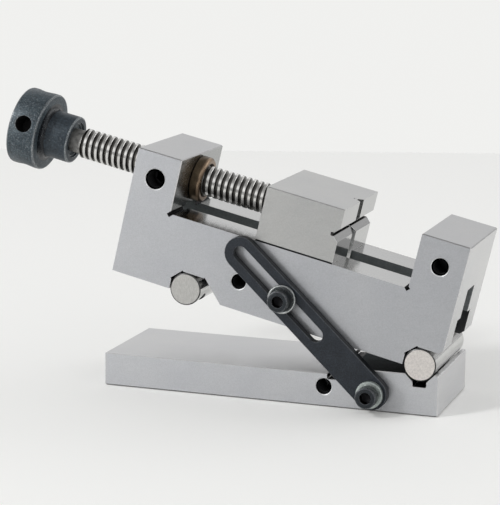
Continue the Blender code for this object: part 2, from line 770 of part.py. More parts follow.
def movable_jaw(jaw_axis):
    top, sole = jaw_height(JAW_TOP), jaw_height(RAIL_TOP) + SLIDE_GAP
    tongue_foot = jaw_height(WIDE_SLOT_TOP)
    tongue_half = SLOT_WIDTH / 2 - SLIDE_GAP
    half = WIDTH / 2
    section = [
        (-half, sole),
        (-tongue_half, sole),
        (-tongue_half, tongue_foot),
        (tongue_half, tongue_foot),
        (tongue_half, sole),
        (half, sole),
        (half, top),
        (-half, top),
    ]
    end_on = Matrix.Rotation(pi / 2, 4, "Z") @ Matrix.Rotation(pi / 2, 4, "X")
    mesh = plate([section], JAW_LENGTH, Matrix.Translation((JAW_LENGTH / 2, 0.0, 0.0)) @ end_on)
    jaw = part("movable_jaw", mesh, STEEL, jaw_axis)
    cut(jaw, "vee", vee_cutters())
    journal = rod((-CUT_PAST, 0.0, 0.0), (JOURNAL_LENGTH, 0.0, 0.0), JOURNAL_RADIUS + SEAT_GAP)
    cut(jaw, "bore", [journal])
    holes = []
    for y in pin_lines():
        foot = (pin_x(), y, tongue_foot - CUT_PAST)
        holes.append(rod(foot, (pin_x(), y, PIN_PAST_AXIS + PIN_GAP), PIN_RADIUS + PIN_GAP, sides=20))
    for x in KEEPER_SCREW_PLACES:
        tip = tongue_foot + KEEPER_SCREW_GRIP + SEAT_GAP
        foot = (JAW_LENGTH - x, 0.0, tongue_foot - CUT_PAST)
        holes.append(rod(foot, (JAW_LENGTH - x, 0.0, tip), M5_RADIUS + THREAD_GAP, sides=24))
    cut(jaw, "hole", holes)
    return jaw


def pin_x():
    """The retaining pins' place along the jaw, in line with the journal's groove."""
    return GROOVE_PLACE - SEAT_GAP


def pin_lines():
    offset = GROOVE_RADIUS + PIN_GAP + PIN_RADIUS
    return (-offset, offset)


def spindle_pins(jaw_axis):
    """Two upright pins that straddle the journal's groove and hold the spindle in the jaw."""
    for side, y in zip(("near", "far"), pin_lines()):
        foot = (pin_x(), y, PIN_PAST_AXIS - PIN_LENGTH)
        mesh = rod(foot, (pin_x(), y, PIN_PAST_AXIS), PIN_RADIUS, sides=20)
        part(f"spindle_pin_{side}", mesh, POLISHED, jaw_axis)


def keeper_floor():
    return jaw_height(WIDE_SLOT_TOP) - SLIDE_GAP - KEEPER_THICKNESS


def head_floor():
    """Height of the seat under the keeper screws' heads."""
    return keeper_floor() + M5_HEAD_HEIGHT + KEEPER_HEAD_SINK + SEAT_GAP


def jaw_keeper(jaw_axis):
    """The plate in the wide slot that holds the jaw down, counterbored for its screws."""
    floor = keeper_floor()
    half = WIDE_SLOT_WIDTH / 2 - SLIDE_GAP
    face_end = JAW_LENGTH - KEEPER_FACE_INSET
    mesh = box((KEEPER_BACK_INSET, -half, floor), (face_end, half, floor + KEEPER_THICKNESS))
    keeper = part("jaw_keeper", mesh, STEEL, jaw_axis)
    holes = []
    for x in KEEPER_SCREW_PLACES:
        line = JAW_LENGTH - x
        low, high = floor - CUT_PAST, floor + KEEPER_THICKNESS + CUT_PAST
        holes.append(rod((line, 0.0, low), (line, 0.0, head_floor()), M5_HEAD_RADIUS + SEAT_GAP))
        holes.append(rod((line, 0.0, low), (line, 0.0, high), M5_RADIUS + THREAD_GAP, sides=24))
    cut(keeper, "hole", holes)
    return keeper


def keeper_screws(jaw_axis):
    """Front and rear cap screws, up through the keeper into the jaw's tongue."""
    seat = head_floor() - SEAT_GAP
    grip = jaw_height(WIDE_SLOT_TOP) + KEEPER_SCREW_GRIP - seat
    for end, x in zip(("front", "rear"), KEEPER_SCREW_PLACES):
        screw = cap_screw(f"keeper_screw_{end}", M5_SIZES, grip, BLACK_OXIDE, jaw_axis)
        screw.location = (JAW_LENGTH - x, 0.0, seat)
        screw.rotation_euler = (pi, 0.0, 0.0)


def main():
    base_plate()

    tilt = axis_empty("tilt_axis", (PIVOT_X, 0.0, PIVOT_Z))
    tilt.rotation_euler = (0.0, TILT, 0.0)
    vise_body(tilt)
    roller("pivot_roller", 0.0, tilt)
    roller("lift_roller", -SINE_DISTANCE, tilt)
    roller_screws("pivot_roller_screw", 0.0, tilt)
    roller_screws("lift_roller_screw", -SINE_DISTANCE, tilt)
    screw_nut(tilt)
    nut_lock_screw(tilt)

    jaw_axis = axis_empty("jaw_axis", (JAW_BACK, 0.0, SPINDLE_HEIGHT), tilt)
    movable_jaw(jaw_axis)
    jaw_keeper(jaw_axis)
    keeper_screws(jaw_axis)
    spindle_pins(jaw_axis)

    screw_axis = axis_empty("screw_axis", (SPINDLE_SHOULDER, 0.0, SPINDLE_HEIGHT), tilt)
    spindle(screw_axis)
    knob(screw_axis)
    knob_grub_screw(screw_axis)

    pivot = Vector((PIVOT_X - LINK_PIVOT_FROM_PIVOT, 0.0, LINK_PIVOT_HEIGHT))
    turn = Matrix.Rotation(TILT, 4, "Y")
    clamp = Vector((PIVOT_X, 0.0, PIVOT_Z)) + turn @ CLAMP_PLACE
    run = clamp - pivot
    link_axis = axis_empty("link_axis", pivot)
    link_axis.rotation_euler = (0.0, Vector((run.x, -run.z)).angle_signed(Vector((1.0, 0.0))), 0.0)
    slotted_link(link_axis)
    washer("link_pivot_washer", PIVOT_WASHER_RADIUS, PIVOT_WASHER_THICKNESS, ZINC, link_axis)
    lock_screw("link_pivot_screw", PIVOT_WASHER_THICKNESS, PIVOT_SCREW_GRIP, link_axis)
    clamp_axis = axis_empty("clamp_axis", (run.length, 0.0, 0.0), link_axis)
    washer("link_clamp_washer", CLAMP_WASHER_RADIUS, CLAMP_WASHER_THICKNESS, BLACK_OXIDE, clamp_axis)
    lock_screw("link_clamp_screw", CLAMP_WASHER_THICKNESS, CLAMP_SCREW_GRIP, clamp_axis)


main()
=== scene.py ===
"""Looks of the sine vise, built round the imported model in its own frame. Metres, +Z up.

Ground steel body, jaw and base plate, black oxide knob and link, a cut thread and a bronze nut.
"""

from collections import namedtuple
from math import atan2, cos, hypot, pi, radians, sin

import bmesh
import bpy
from mathutils import Matrix, Vector


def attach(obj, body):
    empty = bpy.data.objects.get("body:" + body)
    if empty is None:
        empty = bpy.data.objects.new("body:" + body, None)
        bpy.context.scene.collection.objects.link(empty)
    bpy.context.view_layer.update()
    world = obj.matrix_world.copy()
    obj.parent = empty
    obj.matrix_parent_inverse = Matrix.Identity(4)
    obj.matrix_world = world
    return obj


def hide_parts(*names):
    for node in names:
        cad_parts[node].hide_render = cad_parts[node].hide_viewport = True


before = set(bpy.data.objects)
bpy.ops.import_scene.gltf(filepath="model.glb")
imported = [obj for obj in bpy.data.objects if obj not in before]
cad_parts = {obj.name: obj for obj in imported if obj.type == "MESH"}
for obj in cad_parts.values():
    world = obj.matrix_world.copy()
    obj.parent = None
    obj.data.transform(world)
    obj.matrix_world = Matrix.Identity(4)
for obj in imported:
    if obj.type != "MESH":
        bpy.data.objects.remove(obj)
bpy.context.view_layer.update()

# Frames: the tilted vise body and the slotted link
TILT = radians(13.0)
PIVOT = Vector((0.0625, 0.0, 0.0203))
BODY = Matrix.Translation(PIVOT) @ Matrix.Rotation(TILT, 4, "Y")
LINK_PIVOT_X, LINK_PIVOT_HEIGHT = 0.0440, 0.0080
LINK_PIVOT = Vector((LINK_PIVOT_X, 0.0, LINK_PIVOT_HEIGHT))
CLAMP_X, CLAMP_HEIGHT = -0.0588, 0.0098
CLAMP = BODY @ Vector((CLAMP_X, 0.0, CLAMP_HEIGHT))
LINK_RUN = CLAMP - LINK_PIVOT
LINK_TURN = atan2(-LINK_RUN.z, LINK_RUN.x)
LINK = Matrix.Translation(LINK_PIVOT) @ Matrix.Rotation(LINK_TURN, 4, "Y")
WORLD = Matrix.Identity(4)

# Directions
OUTWARD = (0.0, -1.0, 0.0)
INWARD = (0.0, 1.0, 0.0)
RIGHTWARD = (1.0, 0.0, 0.0)
DOWNWARD = (0.0, 0.0, -1.0)

# Sizes of the part; places on the vise body are in the body's own frame
GAP = 0.0003
WIDTH = 0.048
FRONT = -WIDTH / 2
SINE_DISTANCE = 0.100
ROLLER_RADIUS = 0.0065
ROLLERS = (("pivot", 0.0), ("lift", -SINE_DISTANCE))
PLATE_RIGHT = 0.070
PLATE_LOW = 0.0135
BODY_RIGHT = 0.0078
BODY_LEFT = -0.1322
RAIL_TOP = 0.0281
JAW_TOP = 0.0506
BLOCK_RIGHT = -0.1132
BLOCK_MIDDLE = (BODY_LEFT + BLOCK_RIGHT) / 2
FIXED_JAW_FACE = -0.0120
FIXED_JAW_MIDDLE = (FIXED_JAW_FACE + BODY_RIGHT) / 2
WIDE_SLOT_TOP = 0.0181
JAW_FACE = -0.0437
JAW_BACK = -0.0764
LINK_THICKNESS = 0.0040
WASHER_BACK = FRONT - LINK_THICKNESS - 2 * GAP
SPINDLE_HEIGHT = 0.0399
THREAD_LENGTH = 0.0876
THREAD_LEFT = JAW_BACK - GAP - THREAD_LENGTH
THREAD_RADIUS = 0.0063
ROOT_RADIUS = 0.0050
PITCH = 0.00265
NECK_RADIUS = 0.0049
NECK_LENGTH = 0.0045
STUB_RADIUS = 0.0045
STUB_LENGTH = 0.0165
JOURNAL_RADIUS = 0.0040
JOURNAL_LENGTH = 0.0144
GROOVE_RADIUS = 0.0028
GROOVE_START, GROOVE_END = 0.0046, 0.0076
NUT_RADIUS = 0.0082
NUT_LENGTH = 0.0170
LOCK_SCREW_LENGTH = 0.0080
HUB_RADIUS = 0.0099
HUB_LENGTH = 0.0120
HUB_RECESS_DEPTH = 0.0012
KNOB_RADIUS = 0.01615
RIM_WIDTH = 0.0125
KNOB_TURN = radians(14.0)
KNOB_SCREW_PLACE = 0.0060
KNOB_SCREW_LENGTH = 0.0047

# Side holes, by their place along (x) and their height (z)
Hole = namedtuple("Hole", "x z radius depth pitch")
HOLE_STEP = 0.0203
BODY_HOLES = (
    Hole(BLOCK_MIDDLE, SPINDLE_HEIGHT, radius=0.00415, depth=0.0125, pitch=0.00125),
    Hole(FIXED_JAW_MIDDLE, SPINDLE_HEIGHT, radius=0.00345, depth=0.012, pitch=0.001),
    Hole(CLAMP_X - HOLE_STEP, CLAMP_HEIGHT, radius=0.0031, depth=0.010, pitch=0.001),
)
PLATE_HOLE = Hole(LINK_PIVOT_X - HOLE_STEP, 0.0081, radius=0.00325, depth=0.012, pitch=0.001)

# Cap screws, each socket measured across its flats
Screw = namedtuple("Screw", "radius head_radius head_height socket")
M5 = Screw(0.0025, head_radius=0.00425, head_height=0.0050, socket=0.0040)
M4 = Screw(0.0020, head_radius=0.0035, head_height=0.0040, socket=0.0030)


# Materials

# Grains, drawn out along the axes whose share is below 1
LENGTHWISE = (0.06, 1.0, 1.0)
CROSSWISE = (1.0, 0.06, 1.0)
EVEN = (1.0, 1.0, 1.0)


def grey(level):
    return (level, level, level)


def scaled(colour, factor):
    return tuple(min(1.0, share * factor) for share in colour)


class Look:
    """A Principled material whose colour, roughness and bump come from noise in the piece's own space."""

    def __init__(self, name, metallic, roughness, turn=0.0, grazing=1.0):
        self.material = bpy.data.materials.new(name)
        self.material.use_nodes = True
        self.tree = self.material.node_tree
        self.shader = self.tree.nodes["Principled BSDF"]
        self.shader.inputs["Metallic"].default_value = metallic
        self.shader.inputs["Roughness"].default_value = roughness
        self.shader.inputs["Specular Tint"].default_value = (*grey(grazing), 1.0)
        coords = self.tree.nodes.new("ShaderNodeTexCoord")
        self.mapping = self.tree.nodes.new("ShaderNodeMapping")
        self.mapping.inputs["Rotation"].default_value = (0.0, turn, 0.0)
        self.link(coords.outputs["Object"], self.mapping.inputs["Vector"])

    def link(self, start, end):
        self.tree.links.new(start, end)

    def noise(self, scale, grain=EVEN, detail=3.0, roughness=0.55):
        """Noise with specks of about 1/scale metres, drawn out along the grain."""
        stretched = self.tree.nodes.new("ShaderNodeMapping")
        stretched.inputs["Scale"].default_value = grain
        self.link(self.mapping.outputs["Vector"], stretched.inputs["Vector"])
        made = self.tree.nodes.new("ShaderNodeTexNoise")
        made.inputs["Scale"].default_value = scale
        made.inputs["Detail"].default_value = detail
        made.inputs["Roughness"].default_value = roughness
        self.link(stretched.outputs["Vector"], made.inputs["Vector"])
        return made.outputs["Fac"]

    def between(self, value, low, high, at=(0.3, 0.7)):
        """A number that goes from low to high as the value rises through at."""
        made = self.tree.nodes.new("ShaderNodeMapRange")
        made.inputs["From Min"].default_value = at[0]
        made.inputs["From Max"].default_value = at[1]
        made.inputs["To Min"].default_value = low
        made.inputs["To Max"].default_value = high
        self.link(value, made.inputs["Value"])
        return made.outputs["Result"]

    def ramp(self, value, dark, light, at=(0.3, 0.7)):
        """A colour that goes from dark to light as the value rises through at."""
        made = self.tree.nodes.new("ShaderNodeValToRGB")
        for element, place, colour in zip(made.color_ramp.elements, at, (dark, light)):
            element.position = place
            element.color = (*colour, 1.0)
        self.link(value, made.inputs["Fac"])
        return made.outputs["Color"]

    def mix(self, share, first, second, mode="MIX"):
        """Two colours mixed; each input is a socket or a plain value."""
        made = self.tree.nodes.new("ShaderNodeMix")
        made.data_type = "RGBA"
        made.blend_type = mode
        share_input, first_input, second_input, result = 0, 6, 7, 2
        for place, value in ((share_input, share), (first_input, first), (second_input, second)):
            if isinstance(value, bpy.types.NodeSocket):
                self.link(value, made.inputs[place])
            elif place == share_input:
                made.inputs[place].default_value = value
            else:
                made.inputs[place].default_value = (*value, 1.0)
        return made.outputs[result]

    def multiply(self, first, second):
        return self.mix(1.0, first, second, "MULTIPLY")

    def colour(self, socket):
        self.link(socket, self.shader.inputs["Base Color"])

    def rough(self, socket):
        self.link(socket, self.shader.inputs["Roughness"])

    def bump(self, *layers):
        """Each layer is (height socket, strength, depth in metres)."""
        last = None
        for height, strength, depth in layers:
            made = self.tree.nodes.new("ShaderNodeBump")
            made.inputs["Strength"].default_value = strength
            made.inputs["Distance"].default_value = depth
            self.link(height, made.inputs["Height"])
            if last is not None:
                self.link(last, made.inputs["Normal"])
            last = made.outputs["Normal"]
        self.link(last, self.shader.inputs["Normal"])


def ground_steel(
    name, colour, roughness, grain=LENGTHWISE, turn=TILT, contrast=0.06, lines=0.12, grazing=1.0
):
    """Surface ground steel: fine speckle, grinding lines along the grain, and slow cloudy changes."""
    look = Look(name, 1.0, roughness, turn, grazing)
    speckle = look.noise(2600.0, detail=2.0)
    cloudy = look.noise(38.0, detail=4.0)
    streak = look.noise(1500.0, grain, detail=4.0, roughness=0.7)
    tone = look.ramp(speckle, scaled(colour, 1 - contrast), scaled(colour, 1 + contrast))
    soft = look.ramp(cloudy, (0.94, 0.945, 0.955), (1.0, 1.0, 0.995))
    lined = look.ramp(streak, grey(0.955), grey(1.0), at=(0.35, 0.65))
    look.colour(look.multiply(look.multiply(tone, soft), lined))
    look.rough(look.between(streak, roughness - 0.05, roughness + 0.07))
    look.bump((streak, lines, 0.00002), (speckle, lines * 0.8, 0.00001))
    return look.material


def plain_metal(name, colour, roughness, metallic=1.0, contrast=0.12, scale=1400.0, grazing=1.0):
    """Turned or milled metal: fine speckle under wide, slow changes."""
    look = Look(name, metallic, roughness, grazing=grazing)
    fine = look.noise(scale, detail=4.0)
    wide = look.noise(160.0)
    tone = look.ramp(fine, scaled(colour, 1 - contrast), scaled(colour, 1 + contrast))
    soft = look.ramp(wide, grey(0.86), grey(1.0))
    look.colour(look.multiply(tone, soft))
    look.rough(look.between(wide, roughness - 0.06, roughness + 0.08))
    look.bump((fine, 0.1, 0.00002))
    return look.material


def black_oxide(name, colour, worn, roughness, wear, scale=1700.0):
    """Blackened steel: a mottled blue-black skin, rubbed to bare grey in small specks."""
    look = Look(name, 0.35, roughness)
    fine = look.noise(scale, detail=4.0, roughness=0.65)
    cloudy = look.noise(210.0, detail=4.0, roughness=0.6)
    specks = look.noise(2300.0, detail=5.0, roughness=0.75)
    tone = look.ramp(fine, scaled(colour, 0.62), scaled(colour, 1.45), at=(0.38, 0.62))
    patch = look.ramp(cloudy, (0.78, 0.79, 0.81), (1.15, 1.15, 1.13), at=(0.36, 0.64))
    rubbed = look.between(specks, 0.0, 1.0, at=(wear, wear + 0.06))
    look.colour(look.mix(rubbed, look.multiply(tone, patch), worn))
    look.rough(look.between(fine, roughness - 0.08, roughness + 0.1))
    look.bump((fine, 0.22, 0.00003), (cloudy, 0.12, 0.00005))
    return look.material


def brushed_end(name, colour, roughness, grain):
    """The faced end of a roller: brushed lines with fine dots."""
    look = Look(name, 1.0, roughness)
    fine = look.noise(2300.0, grain, detail=4.0, roughness=0.7)
    dots = look.noise(3000.0)
    tone = look.ramp(fine, scaled(colour, 0.82), scaled(colour, 1.12))
    dotted = look.ramp(dots, (0.86, 0.85, 0.84), grey(1.0))
    look.colour(look.multiply(tone, dotted))
    look.bump((fine, 0.25, 0.00002))
    return look.material


STEEL = (0.475, 0.482, 0.50)
WARM_STEEL = (0.47, 0.47, 0.462)
LOOKS = {
    "side": ground_steel("body_side", STEEL, 0.42, contrast=0.07),
    "rail": ground_steel("body_rail", (0.52, 0.52, 0.515), 0.16, contrast=0.03, lines=0.05),
    "inner": ground_steel("body_inner", (0.45, 0.456, 0.45), 0.22, grain=EVEN, contrast=0.02, lines=0.01),
    "top": ground_steel("body_top", (0.555, 0.555, 0.56), 0.34, contrast=0.05),
    # Painted light: the right end face is the same steel painted much lighter, for the light it catches;
    # the left end keeps the side look
    "end": ground_steel("body_end_painted_light", grey(0.79), 0.36, grain=CROSSWISE, contrast=0.04),
    # Painted shade: undersides are the same steel painted near black, for the shade under the body, plate
    # and keeper
    "under": ground_steel("body_under_painted_shade", grey(0.16), 0.3),
    # Painted shade: the T-slot's walls are painted darker than the steel, for the shade inside the slot
    "slot": plain_metal("body_slot_painted_shade", (0.24, 0.26, 0.265), 0.4, metallic=0.4),
    # Painted shade: the bore, deep walls and hidden faces are steel painted near black, for the shade
    # inside them
    "channel": plain_metal("body_channel_painted_shade", (0.08, 0.083, 0.087), 0.38),
    # Painted shade: recesses, reliefs and counterbores are steel painted black, for the shade inside them
    "recess": plain_metal("body_recess_painted_shade", (0.010, 0.010, 0.011), 0.5),
    "notch": plain_metal("body_notch", grey(0.24), 0.28),
    # Painted highlight: edge chamfers are the same steel painted much lighter, to show as bright edge
    # lines
    "edge": plain_metal("body_edge_painted_highlight", grey(0.80), 0.26, contrast=0.05),
    # Painted shadow: the plate's foot chamfer is painted dark, for the contact shadow along the floor
    "line": plain_metal("foot_edge_painted_shadow", grey(0.26), 0.3, contrast=0.05),
    "crease": plain_metal("soft_edge", grey(0.50), 0.34, contrast=0.05),
    "seam": plain_metal("plate_seam", grey(0.60), 0.6, contrast=0.05),
    # Painted highlight: the chamfers round the side holes are painted near white, to show as a bright ring
    "rim": plain_metal("hole_rim_painted_highlight", (0.90, 0.91, 0.92), 0.5, contrast=0.05),
    "plate_side": ground_steel("plate_side", (0.56, 0.567, 0.585), 0.42, turn=0.0),
    "plate_top": ground_steel("plate_top", (0.69, 0.69, 0.695), 0.36, turn=0.0, contrast=0.04, lines=0.08),
    # Painted shade: the plate's raised top under the body is painted near black with weak grazing gloss,
    # for the shade in the gap under the body
    "plate_rise_painted_shade": ground_steel(
        "plate_rise_painted_shade", (0.072, 0.085, 0.092), 0.3, turn=0.0, lines=0.05, grazing=0.38
    ),
    # Painted light: the plate's right end is the same steel painted much lighter, for the light it
    # catches; the left end keeps the side look
    "plate_end_painted_light": ground_steel("plate_end_painted_light", (0.79, 0.79, 0.80), 0.4, grain=CROSSWISE, turn=0.0),
    "jaw_side": ground_steel("jaw_side", WARM_STEEL, 0.4),
    "jaw_top": ground_steel("jaw_top", (0.57, 0.57, 0.565), 0.34, contrast=0.05),
    "jaw_face": ground_steel("jaw_face", (0.61, 0.61, 0.605), 0.13, grain=CROSSWISE, contrast=0.04),
    # Painted shade: the floors of the jaw's grooves are painted black, for the shade in them
    "jaw_slot_painted_shade": plain_metal("jaw_slot_painted_shade", grey(0.014), 0.5),
    # Painted light: the grooves' side walls are painted near white, so they look lit though they sit in
    # the groove's shade
    "jaw_relief_painted_light": plain_metal("jaw_relief_painted_light", grey(0.85), 0.5, metallic=0.4),
    "roller_side": plain_metal("roller_side", (0.72, 0.72, 0.71), 0.14, contrast=0.04),
    # Painted shade: the rollers' end chamfers are painted dark, for the shade in the gap round each roller
    # end
    "roller_ring_painted_shade": plain_metal("roller_ring_painted_shade", grey(0.09), 0.3),
    "pivot_end": brushed_end("pivot_end", (0.80, 0.765, 0.737), 0.36, grain=(0.5, 1.0, 0.5)),
    "lift_end": brushed_end("lift_end", (0.53, 0.527, 0.512), 0.38, grain=(1.0, 1.0, 0.3)),
    "knob": black_oxide(
        "knob_black", (0.036, 0.051, 0.062), (0.28, 0.31, 0.33), roughness=0.44, wear=0.56, scale=1300.0
    ),
    "knob_hub": black_oxide(
        "knob_hub", (0.030, 0.041, 0.052), (0.20, 0.22, 0.23), roughness=0.42, wear=0.6, scale=1300.0
    ),
    # Painted shade: the fillet at the hub's foot is painted darker than the hub, for the shade in that
    # corner
    "knob_fillet_painted_shade": black_oxide(
        "knob_fillet_painted_shade", (0.008, 0.0105, 0.014), (0.20, 0.21, 0.22), roughness=0.24, wear=0.6
    ),
    "knob_edge": black_oxide(
        "knob_edge", (0.12, 0.135, 0.145), (0.5, 0.52, 0.53), roughness=0.32, wear=0.54
    ),
    # Painted shade: the insides of the knob's holes are painted black
    "knob_hole_painted_shade": plain_metal("knob_hole_painted_shade", (0.012, 0.012, 0.013), 0.6, metallic=0.3),
    "link": black_oxide(
        "link_black", (0.0135, 0.0175, 0.024), (0.07, 0.075, 0.08), roughness=0.45, wear=0.7
    ),
    # Painted shade: the link's walls are painted darker than its faces, for the shade along them
    "link_wall_painted_shade": black_oxide(
        "link_wall_painted_shade", (0.007, 0.009, 0.012), (0.05, 0.055, 0.06), roughness=0.45, wear=0.7
    ),
    "link_edge": black_oxide(
        "link_edge", (0.06, 0.066, 0.075), (0.24, 0.25, 0.26), roughness=0.36, wear=0.6
    ),
    "screw": black_oxide("screw_black", (0.014, 0.018, 0.022), grey(0.12), roughness=0.32, wear=0.7),
    "screw_edge": black_oxide("screw_edge", (0.07, 0.075, 0.082), grey(0.3), roughness=0.3, wear=0.6),
    # Painted shade: sockets are painted black with little grazing gloss, for the shade deep inside them
    "socket": plain_metal("socket", (0.012, 0.012, 0.013), 0.4, grazing=0.2),
    "zinc": plain_metal("zinc_washer", (0.48, 0.53, 0.505), 0.32, metallic=0.7, contrast=0.26),
    "dark_washer": black_oxide(
        "clamp_washer", (0.075, 0.082, 0.085), (0.3, 0.31, 0.31), roughness=0.32, wear=0.6
    ),
    "washer_rim": plain_metal("washer_rim", (0.5, 0.52, 0.52), 0.26),
    "crest": plain_metal("thread_crest", (0.76, 0.75, 0.73), 0.18, contrast=0.08),
    # Painted shade: the thread's roots and lower flanks are painted dark, for the shade between the crests
    "root": plain_metal("thread_root_painted_shade", (0.16, 0.155, 0.145), 0.35, contrast=0.2),
    "neck": plain_metal("spindle_neck", (0.38, 0.375, 0.36), 0.52, contrast=0.42, scale=500.0),
    "bronze": plain_metal("bronze", (0.27, 0.195, 0.135), 0.28, contrast=0.14),
    # Painted shade: the flange's outer side is bronze painted darker, for the shade on it
    "bronze_side_painted_shade": plain_metal("bronze_side_painted_shade", (0.12, 0.09, 0.06), 0.34, contrast=0.2, grazing=0.8),
    # Painted shade: the nut's bore and hidden back are bronze painted dark, for the shade in the bore
    "bronze_bore_painted_shade": plain_metal("bronze_bore_painted_shade", (0.07, 0.05, 0.035), 0.45, contrast=0.15),
    # Painted shade: the threads in the side holes are painted black, for the shade deep in the holes
    "tapped": plain_metal("tapped_hole_painted_shade", (0.02, 0.02, 0.021), 0.5),
}


# Mesh building


def place_in_scene(name, data):
    made = bpy.data.objects.new(name, data)
    bpy.context.scene.collection.objects.link(made)
    return made


def new_object(name, mesh, looks, body, nodes=()):
    """A piece that rides a body and stands in for the named CAD nodes."""
    made = place_in_scene(name, mesh)
    for look in looks:
        mesh.materials.append(LOOKS[look])
    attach(made, body)
    if nodes:
        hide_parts(*nodes)


def finish_mesh(shape, name, place, smooth_angle=32.0):
    """The shape as a mesh at its place, smooth but for edges over smooth_angle degrees."""
    bmesh.ops.recalc_face_normals(shape, faces=shape.faces)
    for face in shape.faces:
        face.smooth = True
    mesh = bpy.data.meshes.new(name)
    shape.to_mesh(mesh)
    shape.free()
    mesh.transform(place)
    mesh.set_sharp_from_angle(angle=radians(smooth_angle))
    return mesh


def solid_copy(node, place):
    """The CAD node's solid in the space of place, welded, with its flat faces whole again."""
    shape = bmesh.new()
    shape.from_mesh(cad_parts[node].data)
    bmesh.ops.remove_doubles(shape, verts=shape.verts, dist=3e-6)
    shape.transform(place.inverted())
    flatten(shape)
    return shape


def flatten(shape):
    """Join faces that lie in one plane."""
    bmesh.ops.dissolve_limit(
        shape,
        angle_limit=radians(0.6),
        verts=list(shape.verts),
        edges=list(shape.edges),
        use_dissolve_boundaries=False,
    )


def carve(shape, cutters):
    """Cut meshes out of the shape; cut faces keep the cutter's material index."""
    bmesh.ops.recalc_face_normals(shape, faces=shape.faces)
    holder = place_in_scene("holder", bpy.data.meshes.new("holder"))
    shape.to_mesh(holder.data)
    shape.free()
    tools = [place_in_scene("tool", mesh) for mesh in cutters]
    for tool in tools:
        modifier = holder.modifiers.new("cut", "BOOLEAN")
        modifier.operation = "DIFFERENCE"
        modifier.solver = "EXACT"
        modifier.object = tool
    graph = bpy.context.evaluated_depsgraph_get()
    result = bpy.data.meshes.new_from_object(holder.evaluated_get(graph))
    for stale in [holder, *tools]:
        bpy.data.objects.remove(stale, do_unlink=True)
    made = bmesh.new()
    made.from_mesh(result)
    bmesh.ops.remove_doubles(made, verts=made.verts, dist=2e-6)
    return made


def lathe(rows, columns, closed=False):
    """A solid about Z from rows of (radius or radius of angle, height, material).

    A row's material paints the strip that runs from it to the next row.
    """
    shape = bmesh.new()
    rings = []
    for radius, height, _ in rows:
        ring = []
        for column in range(columns):
            turn = 2 * pi * column / columns
            reach = radius(turn) if callable(radius) else radius
            ring.append(shape.verts.new((reach * cos(turn), reach * sin(turn), height)))
        rings.append(ring)
    pairs = list(zip(rings, rings[1:], rows))
    if closed:
        pairs.append((rings[-1], rings[0], rows[-1]))
    for first, second, row in pairs:
        for column in range(columns):
            after = (column + 1) % columns
            face = shape.faces.new((first[column], first[after], second[after], second[column]))
            face.material_index = row[2]
    if not closed:
        for ring, row in ((rings[0], rows[0]), (rings[-1], rows[-1])):
            face = shape.faces.new(ring)
            face.material_index = row[2]
    return shape


def along(start, direction):
    """A frame at start whose +Z is the direction."""
    z = Vector(direction).normalized()
    x = Vector((0.0, 0.0, 1.0)).cross(z)
    if x.length < 1e-6:
        x = Vector(RIGHTWARD)
    x.normalize()
    y = z.cross(x)
    return Matrix.Translation(start) @ Matrix((x, y, z)).transposed().to_4x4()


def helix(profile, pitch, length, columns):
    """A thread's surface about Z from 0 to length.

    The profile has a row of (share of the pitch, radius, material) for each ridge line of one turn.
    """
    shape = bmesh.new()
    count = len(profile)
    spare = 2
    rings = []
    for turn in range(-spare, int(length / pitch) + 2 * spare):
        for share, radius, paint in profile:
            ring = []
            for column in range(columns):
                angle = 2 * pi * column / columns
                height = (turn + share + column / columns) * pitch
                height = min(max(height, 0.0), length)
                ring.append(shape.verts.new((radius * cos(angle), radius * sin(angle), height)))
            rings.append((ring, paint))
    for index in range(len(rings) - 1):
        first, paint = rings[index]
        second = rings[index + 1][0]
        for column in range(columns - 1):
            quad(shape, (first[column], first[column + 1], second[column + 1], second[column]), paint)
        if index + 1 + count < len(rings):
            third, fourth = rings[index + count][0], rings[index + 1 + count][0]
            quad(shape, (first[-1], third[0], fourth[0], second[-1]), paint)
    return shape


def quad(shape, corners, paint):
    """A face between two rings, unless both of its sides between them have no length."""
    a, b, c, d = (corner.co for corner in corners)
    if (a - d).length < 1e-7 and (b - c).length < 1e-7:
        return
    face = shape.faces.new(corners)
    face.material_index = paint


def edge_bevel(shape, width, paint, chosen=None):
    """Bevel the sharp edges, or the chosen ones; flat faces and bevels stay flat shaded."""
    for face in shape.faces:
        turns = [edge.calc_face_angle(0.0) for edge in face.edges if len(edge.link_faces) == 2]
        face.smooth = any(radians(1.0) < turn < radians(30.0) for turn in turns)
    inner = [edge for edge in shape.edges if len(edge.link_faces) == 2]
    sharp = [edge for edge in inner if edge.calc_face_angle(0.0) > radians(50.0)]
    if chosen:
        sharp = [edge for edge in sharp if chosen((edge.verts[0].co + edge.verts[1].co) / 2)]
    bmesh.ops.bevel(
        shape,
        geom=sharp,
        offset=width,
        offset_type="OFFSET",
        segments=1,
        profile=0.5,
        affect="EDGES",
        clamp_overlap=True,
        loop_slide=True,
        material=paint,
    )
    for face in shape.faces:
        if face.material_index == paint:
            face.smooth = False


